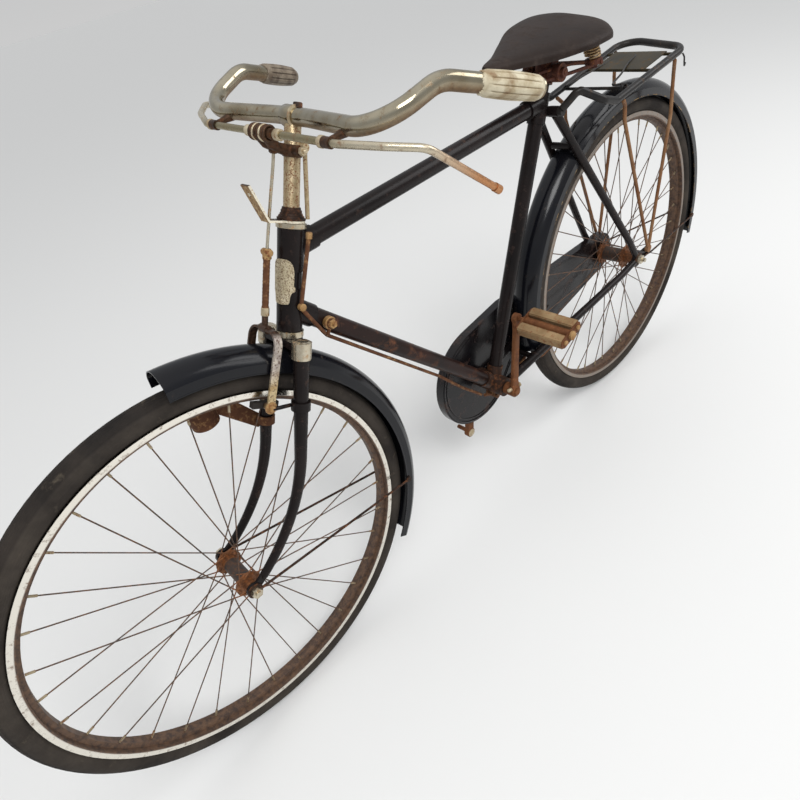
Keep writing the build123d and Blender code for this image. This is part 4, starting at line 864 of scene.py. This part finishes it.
badge_outline = ((505.5, 4), (505, 22), (502.5, 36), (497, 46), (489, 50), (476, 50), (469.5, 49), (467, 55),
                 (462, 55), (459.5, 42), (455, 36), (446, 33), (443.5, 28), (442.5, 8))
badge_corners = []
badge_columns = 25
badge_turn = 22
for layer in (19.3, 20.5):
    for tall, half in badge_outline:
        for column_index in range(badge_columns):
            share = 2 * column_index / (badge_columns - 1) - 1
            angle = radians(badge_turn + half * share)
            bead = 0.7 if layer > 20 and (abs(share) > 0.9 or tall > 504 or tall < 444) else 0.0
            far = layer + bead
            badge_corners.append(steer(far * cos(angle), far * sin(angle), tall))
badge_parts = [(badge_corners, sheet_skin(len(badge_outline), badge_columns))]
rivet_angle = radians(badge_turn)
for tall in (499, 449):
    badge_parts.append(turned(steer(20.2 * cos(rivet_angle), 20.2 * sin(rivet_angle), tall),
                              steer(1, 0.4, 0) - steer(0, 0, 0), [(0, 1.8), (0.9, 1.6), (1.4, 0.8)], 14))
piece("badge_plate", badge_parts, "badge", "frame", ["head_badge"])

rod = [wire(smooth_line([steer(25.5, -4, 642), steer(26.6, -4, 620), steer(30.5, -4, 575), steer(34, -4, 530),
                         steer(35, -4, 516)], 6), 2.2, 14)]
piece("brake_rod", rod, "bright", "steering", ["front_brake_rod"])
joint = [turned(steer(35, -13, 513), left, [(0, 4), (0.6, 5), (17.4, 5), (18, 4)], 20),
         nut(steer(35, -4, 504), head_up, 6.2, 14),
         turned(steer(35, -17, 513), left, [(0, 2.6), (4, 2.6)], 14)]
piece("rod_joint", joint, "gold", "steering")
rod_way = steer(-3, 0, 85) - steer(0, 0, 0)
thread = [(14 + 2.4 * index, 4.6 + 0.35 * (index % 2)) for index in range(26)]
adjuster = [turned(steer(38, -4, 428), rod_way,
                   [(0, 5.0), (10, 5.2), (12, 4.6)] + thread + [(78, 5.4), (80, 4)], 24)]
piece("rod_adjuster", adjuster, "rust", "steering")
ferrule = [turned(steer(38, -4, 425), rod_way, [(0, 4.6), (0.5, 6), (11, 6), (12, 5)], 24)]
piece("rod_ferrule", ferrule, "collar", "steering")
shoe_way = level_way(121.7)
eyes = []
for sign in (1, -1):
    seat = front_axle + shoe_way * 0.303 + left * sign * 0.0345
    eyes.append(turned(seat, left * sign, [(0, 8.2), (0.6, 9.2), (3.0, 9.2), (3.6, 8.2)], 28))
    eyes.append(nut(seat + left * sign * 0.0036, left * sign, 5.6, 4.5))
piece("stirrup_eyes", eyes, "gold", "steering")
down_head = steer(0, 0, 434)
down_way = (at(0, bracket_height) - down_head).normalized()
clamp_foot = down_head + down_way * 0.062
clamp_nuts = [turned(clamp_foot + left * 0.0155, left, [(0, 9), (1, 10), (8, 10), (9, 8.5)], 28),
              nut(clamp_foot + left * 0.0245, left, 7.6, 7),
              turned(clamp_foot + left * 0.031, left, [(0, 3.2), (5, 3)], 14)]
piece("linkage_clamp", clamp_nuts, "gold", "frame")
piece("linkage_nut", [nut(steer(-14, 23, 534), head_up, 4.4, 9),
                      turned(steer(-4.5, 23, 440), left, [(-3, 4), (-2, 5.5), (5, 5.5), (6, 4)], 18)],
      "gold", "frame")
print("head pieces made")

# %% [markdown]
# The crank set seen from the left: a forged arm that tapers towards the pedal, its cotter, and the pedal
# with ridged rubbers between two end plates. On the right only the crank's end and a worn nut are left.

# %% Cranks and pedal
crank_way = level_way(101)
crank_side = crank_way.cross(left)
bracket = at(0, bracket_height)
crank_length = 0.168


def forged_arm(middle_y):
    """Tapered arm with rounded edges from the bracket to the pedal's eye."""
    corners = []
    stations, sides = 15, 20
    for index in range(stations):
        share = index / (stations - 1)
        half = 0.0098 - 0.003 * share + 0.0035 * (max(0, 1 - share * 7) + max(0, share * 7 - 6))
        thick = 0.0052 - 0.0006 * sin(pi * share)
        middle = bracket + crank_way * crank_length * share + left * middle_y / 1000
        for angle in circle(sides):
            c, d = squarish(angle, 0.45)
            corners.append(middle + crank_side * half * c + left * thick * d)
    return corners, skin(stations, sides)


tip = bracket + crank_way * crank_length
crank_arm = [forged_arm(59.25),
             turned(bracket + left * 0.0385, left,
                    [(0, 12), (1, 13.2), (26, 13.2), (27.5, 12), (27.5, 8)], 36),
             turned(bracket + left * 0.064, left, [(0, 7.8), (4.4, 7.8), (5.2, 6.8)], 28),
             turned(tip + left * 0.0535, left, [(0, 9.5), (0.8, 10.4), (11, 10.4), (11.8, 9.5)], 32),
             turned(tip + left * 0.064, left, [(0, 5), (121, 5), (126, 5)], 20)]
piece("crank_arm", crank_arm, "crank", "crank", ["crank_left"])
cotter_middle = bracket + left * 0.059 + crank_way * 0.008
cotter = [turned(cotter_middle - crank_side * 0.0195, crank_side,
                 [(0, 3.4), (1, 4.2), (34, 4.2), (35, 3.2)], 18),
          nut(cotter_middle + crank_side * 0.013, crank_side, 6.4, 5)]
piece("crank_cotter", cotter, "collar", "crank")

pedal_ahead = level_way(-15)
pedal_up = left.cross(pedal_ahead) * -1
rubber_apart = 20.5


def pedal_rubber(middle, half_wide, half_tall, low_y, high_y):
    """Rubber with rounded corners and shallow ridges along it."""
    outline = []
    sides = 40
    for side, angle in enumerate(circle(sides)):
        c, d = squarish(angle, 0.42)
        ridge = 1 - 0.07 * (side % 4 < 2)
        outline.append(pedal_ahead * half_wide * c * ridge / 1000 + pedal_up * half_tall * d * ridge / 1000)
    corners = []
    for y, share in ((low_y, 0.93), (low_y + 1.5, 1.0), (high_y - 1.5, 1.0), (high_y, 0.93)):
        corners += [middle + left * y / 1000 + offset * share for offset in outline]
    return corners, skin(4, sides)


rubbers = [pedal_rubber(tip + pedal_ahead * place / 1000, 10.0, 11.5, 83, 181)
           for place in (rubber_apart, -rubber_apart)]
piece("pedal_blocks", rubbers, "pedal_rubber", "left_pedal", ["pedal_rubbers_left"])


def end_plate(y, thick):
    """Plate with rounded ends across the pedal."""
    corners = []
    sides = 32
    for side_y in (y, y + thick):
        for angle in circle(sides):
            c = cos(angle)
            shift_by = copysign(min(abs(c) * 2.5, 1.0), c) * rubber_apart
            corners.append(tip + left * side_y / 1000 + pedal_ahead * (shift_by + 10.5 * c) / 1000
                           + pedal_up * 11.0 * sin(angle) / 1000)
    return corners, skin(2, sides)


cage = [end_plate(80.5, 2.2), end_plate(181.3, 2.2),
        turned(tip + left * 0.0765, left, [(0, 8), (4, 8.6), (104, 8.6), (107, 7.5)], 28)]
caps = [turned(tip + left * 0.1835, left, [(0, 8.8), (4.5, 8.8), (6, 7), (7, 3)], 24)]
for place in (rubber_apart, -rubber_apart):
    bolt = tip + pedal_ahead * place / 1000
    caps.append(nut(bolt + left * 0.1835, left, 5.0, 4.0))
    cage.append(turned(bolt + left * 0.077, left, [(0, 3.5), (3, 4.2), (3.5, 4.2)], 16))
piece("pedal_cage", cage, "crank", "left_pedal", ["pedal_cage_left"])
piece("pedal_caps", caps, "gold", "left_pedal")

other_tip = bracket - crank_way * crank_length
nut_profile = [(0, 8.5), (0.8, 9.6), (2.6, 9.6), (3.4, 8)]
nut_corners, nut_faces = turned(other_tip - left * 0.065, left, nut_profile, 36)
for index, corner in enumerate(nut_corners):
    out = corner - other_tip - left * (corner - other_tip).dot(left)
    nut_corners[index] = corner + out * (0.07 if index % 2 else -0.04)
piece("spindle_nut", [(nut_corners, nut_faces)], "collar", "crank")
print("crank and pedal made")

# %% [markdown]
# The pressed edges: a double bead all round the chain case's outer face and round the front of its inner
# face, and the rolled edge along the skirts of both mudguards.

# %% Beads and rolled edges
front_round, rear_round = 118, 47
front_round_height = 298
outer_bead_y, inner_bead_y = -0.0565, -0.0383
case_beads = []
for inset, thick in ((5.0, 2.2), (13.0, 1.7)):
    outline = []
    reach = front_round - inset
    for index in range(49):
        angle = radians(84 - 200 * index / 48)
        outline.append(at(reach * cos(angle), front_round_height + reach * sin(angle)))
    for x, z in ((-110, 258), (-230, 268)):
        outline.append(at(x, z + inset))
    reach = rear_round - inset
    for index in range(13):
        angle = radians(270 - 15 * index)
        outline.append(at(rear_axle_x + reach * cos(angle), axle_height + reach * sin(angle)))
    outline.append(at(-230, 416 - inset))
    outline.append(at(-106, 428 - inset))
    case_beads.append(wire([point + left * outer_bead_y for point in outline], thick, 8, True))
    case_beads.append(wire([point + left * inner_bead_y for point in outline[:50]], thick, 8))
piece("case_beads", case_beads, "case", "frame")
edge_radius, edge_half = 0.3545, 0.0288


def guard_edges(name, axle, start, end, finish, body):
    """Rolled edges along both skirts of a mudguard, from one angle round the axle to another."""
    edges = []
    for side_y in (edge_half, -edge_half):
        points = [axle + level_way(start + (end - start) * index / 72) * edge_radius + left * side_y
                  for index in range(73)]
        edges.append(wire(points, 1.5, 8))
    piece(name, edges, finish, body)


guard_edges("front_guard_edges", front_axle, 98.1, 214.4, "guard", "steering")
guard_edges("rear_guard_edges", rear_axle, -5.7, 195.4, "edge", "frame")
print("beads and edges made")

# %% [markdown]
# On the carrier: the sprung wire clip that lies along its deck, hinged on the near rail and on the cross rod,
# and a small hook that hangs from the rear of the near rail.

# %% Carrier clip and hook
clip_route = ((-400, 775, 66), (-392, 776, 50), (-440, 781, 40), (-500, 783, 20), (-548, 785, 10),
              (-560, 785, -10), (-548, 785, -28), (-500, 783, -34), (-440, 781, -40), (-392, 776, -48),
              (-400, 775, -58))
clip_wire = wire(smooth_line([at(x, z, y) for x, z, y in clip_route], 10), 1.9, 10)
clip_coil = []
clip_turns = 4
for index in range(clip_turns * 20 + 1):
    angle = 2 * pi * index / 20
    clip_coil.append(at(-400 + 8 * cos(angle), 767 + 8 * sin(angle), 66 + index * 0.055))
hook_route = ((-590, 775, 88), (-590, 768, 92), (-592, 757, 92), (-598, 750, 90), (-606, 753, 88))
hook_wire = wire(smooth_line([at(x, z, y) for x, z, y in hook_route], 8), 1.6, 10)
clip_rod = turned(at(-400, 767, -62), left, [(0, 2.5), (1, 3), (142, 3), (143, 2.5)], 16)
piece("carrier_clip", [clip_wire, wire(clip_coil, 1.6, 8), hook_wire, clip_rod], "carrier", "frame")
print("carrier clip made")

# %% [markdown]
# Each spoke ends in a brass nipple at the rim. The nipples of one wheel are one object: points where the
# spokes reach the rim, each carrying the direction of its spoke, and a node group that stands one nipple on
# every point.

# %% Spoke nipples
nipple_radius, nipple_length = 0.0019, 0.012
nipple_back = nipple_length / 2 * 1000 + 0.4
spoke_reach = 305.0


def nipple_group(material):
    """Node group that stands a nipple on each point, turned to the point's own direction."""
    group = bpy.data.node_groups.new("nipples", "GeometryNodeTree")
    group.interface.new_socket("Geometry", in_out="INPUT", socket_type="NodeSocketGeometry")
    sizes = {}
    for label, value in (("Nipple radius", nipple_radius), ("Nipple length", nipple_length)):
        socket = group.interface.new_socket(label, in_out="INPUT", socket_type="NodeSocketFloat")
        socket.default_value = value
        sizes[label] = socket.identifier
    group.interface.new_socket("Geometry", in_out="OUTPUT", socket_type="NodeSocketGeometry")
    given = group.nodes.new("NodeGroupInput").outputs
    body = add(group, "GeometryNodeMeshCylinder",
               {"Vertices": 8, "Radius": given["Nipple radius"], "Depth": given["Nipple length"]})
    turn = add(group, "GeometryNodeInputNamedAttribute", {"Name": "way"})
    turn.data_type = "FLOAT_VECTOR"
    aim = add(group, "FunctionNodeAlignRotationToVector", {"Vector": turn.outputs["Attribute"]})
    aim.axis = "Z"
    inputs = {"Points": given["Geometry"], "Instance": body.outputs["Mesh"],
              "Rotation": aim.outputs["Rotation"]}
    stand = add(group, "GeometryNodeInstanceOnPoints", inputs)
    solid = add(group, "GeometryNodeRealizeInstances", {"Geometry": stand.outputs["Instances"]})
    inputs = {"Geometry": solid.outputs["Geometry"], "Material": material}
    paint = add(group, "GeometryNodeSetMaterial", inputs)
    add(group, "NodeGroupOutput", {"Geometry": paint.outputs["Geometry"]})
    return group, sizes


def nipples(name, axle, spokes, flange_y, hole_radius, body):
    """All the nipples of one wheel, baked to a plain mesh."""
    apart = 720.0 / spokes
    points, ways = [], []
    for spoke in range(spokes):
        side = 1 if spoke % 2 == 0 else -1
        turn = 1 if (spoke // 2) % 2 == 0 else -1
        hub_angle = radians(apart * (spoke // 2) + (apart / 2 if side < 0 else 0))
        rim_angle = hub_angle + turn * radians(apart * 3)
        near = Vector((cos(hub_angle) * hole_radius, side * (flange_y + turn * 2.5),
                       sin(hub_angle) * hole_radius))
        far = Vector((cos(rim_angle) * spoke_reach, side * (2.2 + turn * 1.2),
                      sin(rim_angle) * spoke_reach))
        way = (far - near).normalized()
        points.append(axle + (far - way * nipple_back) / 1000)
        ways.append(way)
    mesh = bpy.data.meshes.new(name + "_points")
    mesh.from_pydata([tuple(point) for point in points], [], [])
    carried = mesh.attributes.new("way", "FLOAT_VECTOR", "POINT")
    carried.data.foreach_set("vector", [value for way in ways for value in way])
    holder = placed(name + "_points", mesh)
    group, sizes = nipple_group(finishes["nipple"])
    modifier = holder.modifiers.new("nipples", "NODES")
    modifier.node_group = group
    modifier[sizes["Nipple radius"]] = nipple_radius
    modifier[sizes["Nipple length"]] = nipple_length
    bpy.context.view_layer.update()
    baked = bpy.data.meshes.new_from_object(holder.evaluated_get(bpy.context.evaluated_depsgraph_get()))
    baked.name = name
    bpy.data.objects.remove(holder)
    obj = placed(name, baked)
    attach(obj, body)
    print(name, "corners", len(baked.vertices), "materials", len(baked.materials))


nipples("front_nipples", front_axle, 32, 33.0, 18.0, "front_wheel")
nipples("rear_nipples", rear_axle, 40, 29.0, 23.0, "rear_wheel")

# %% [markdown]
# The studio is a pale floor and soft light from a pale sky, with one large lamp above and to the side.
# The lights stay at a plain level so that the finishes keep their own colours.

# %% Floor and light
floor_mesh = bpy.data.meshes.new("floor")
floor_height = -saddle_z / 1000
floor_half = 300.0
floor_mesh.from_pydata([(x * floor_half, y * floor_half, floor_height)
                        for x, y in ((-1, -1), (1, -1), (1, 1), (-1, 1))], [], [(0, 1, 2, 3)])
floor = placed("floor", floor_mesh)
floor_material, floor_tree = new_material("floor_paint")
fill(floor_tree, floor_tree.nodes["Principled BSDF"], {"Base Color": (0.78, 0.78, 0.77, 1), "Roughness": 0.9})
floor_mesh.materials.append(floor_material)

world = bpy.data.worlds.new("studio")
world.use_nodes = True
sky = world.node_tree
height = parts_of(sky, "ShaderNodeTexCoord", "Generated")["Z"]
shade = ramp(sky, height, [(0.0, 0.66), (0.2, (0.56, 0.57, 0.58)), (0.45, (0.6, 0.62, 0.65)), (0.85, 1.0)])
fill(sky, sky.nodes["Background"], {"Color": shade, "Strength": 0.9})
bpy.context.scene.world = world


def lamp(name, place, aim, size, power):
    """A square soft lamp."""
    data = bpy.data.lights.new(name, "AREA")
    data.size = size
    data.energy = power
    obj = placed(name, data)
    obj.location = place
    obj.rotation_euler = (Vector(aim) - Vector(place)).to_track_quat("-Z", "Y").to_euler()


lamp("key", (1.2, 2.4, 2.6), (0.2, 0, -0.4), 1.6, 70)
lamp("side", (-2.2, 1.8, 1.6), (-0.2, 0, -0.4), 2.0, 40)
bpy.context.scene.view_settings.view_transform = "Standard"
print("studio ready")
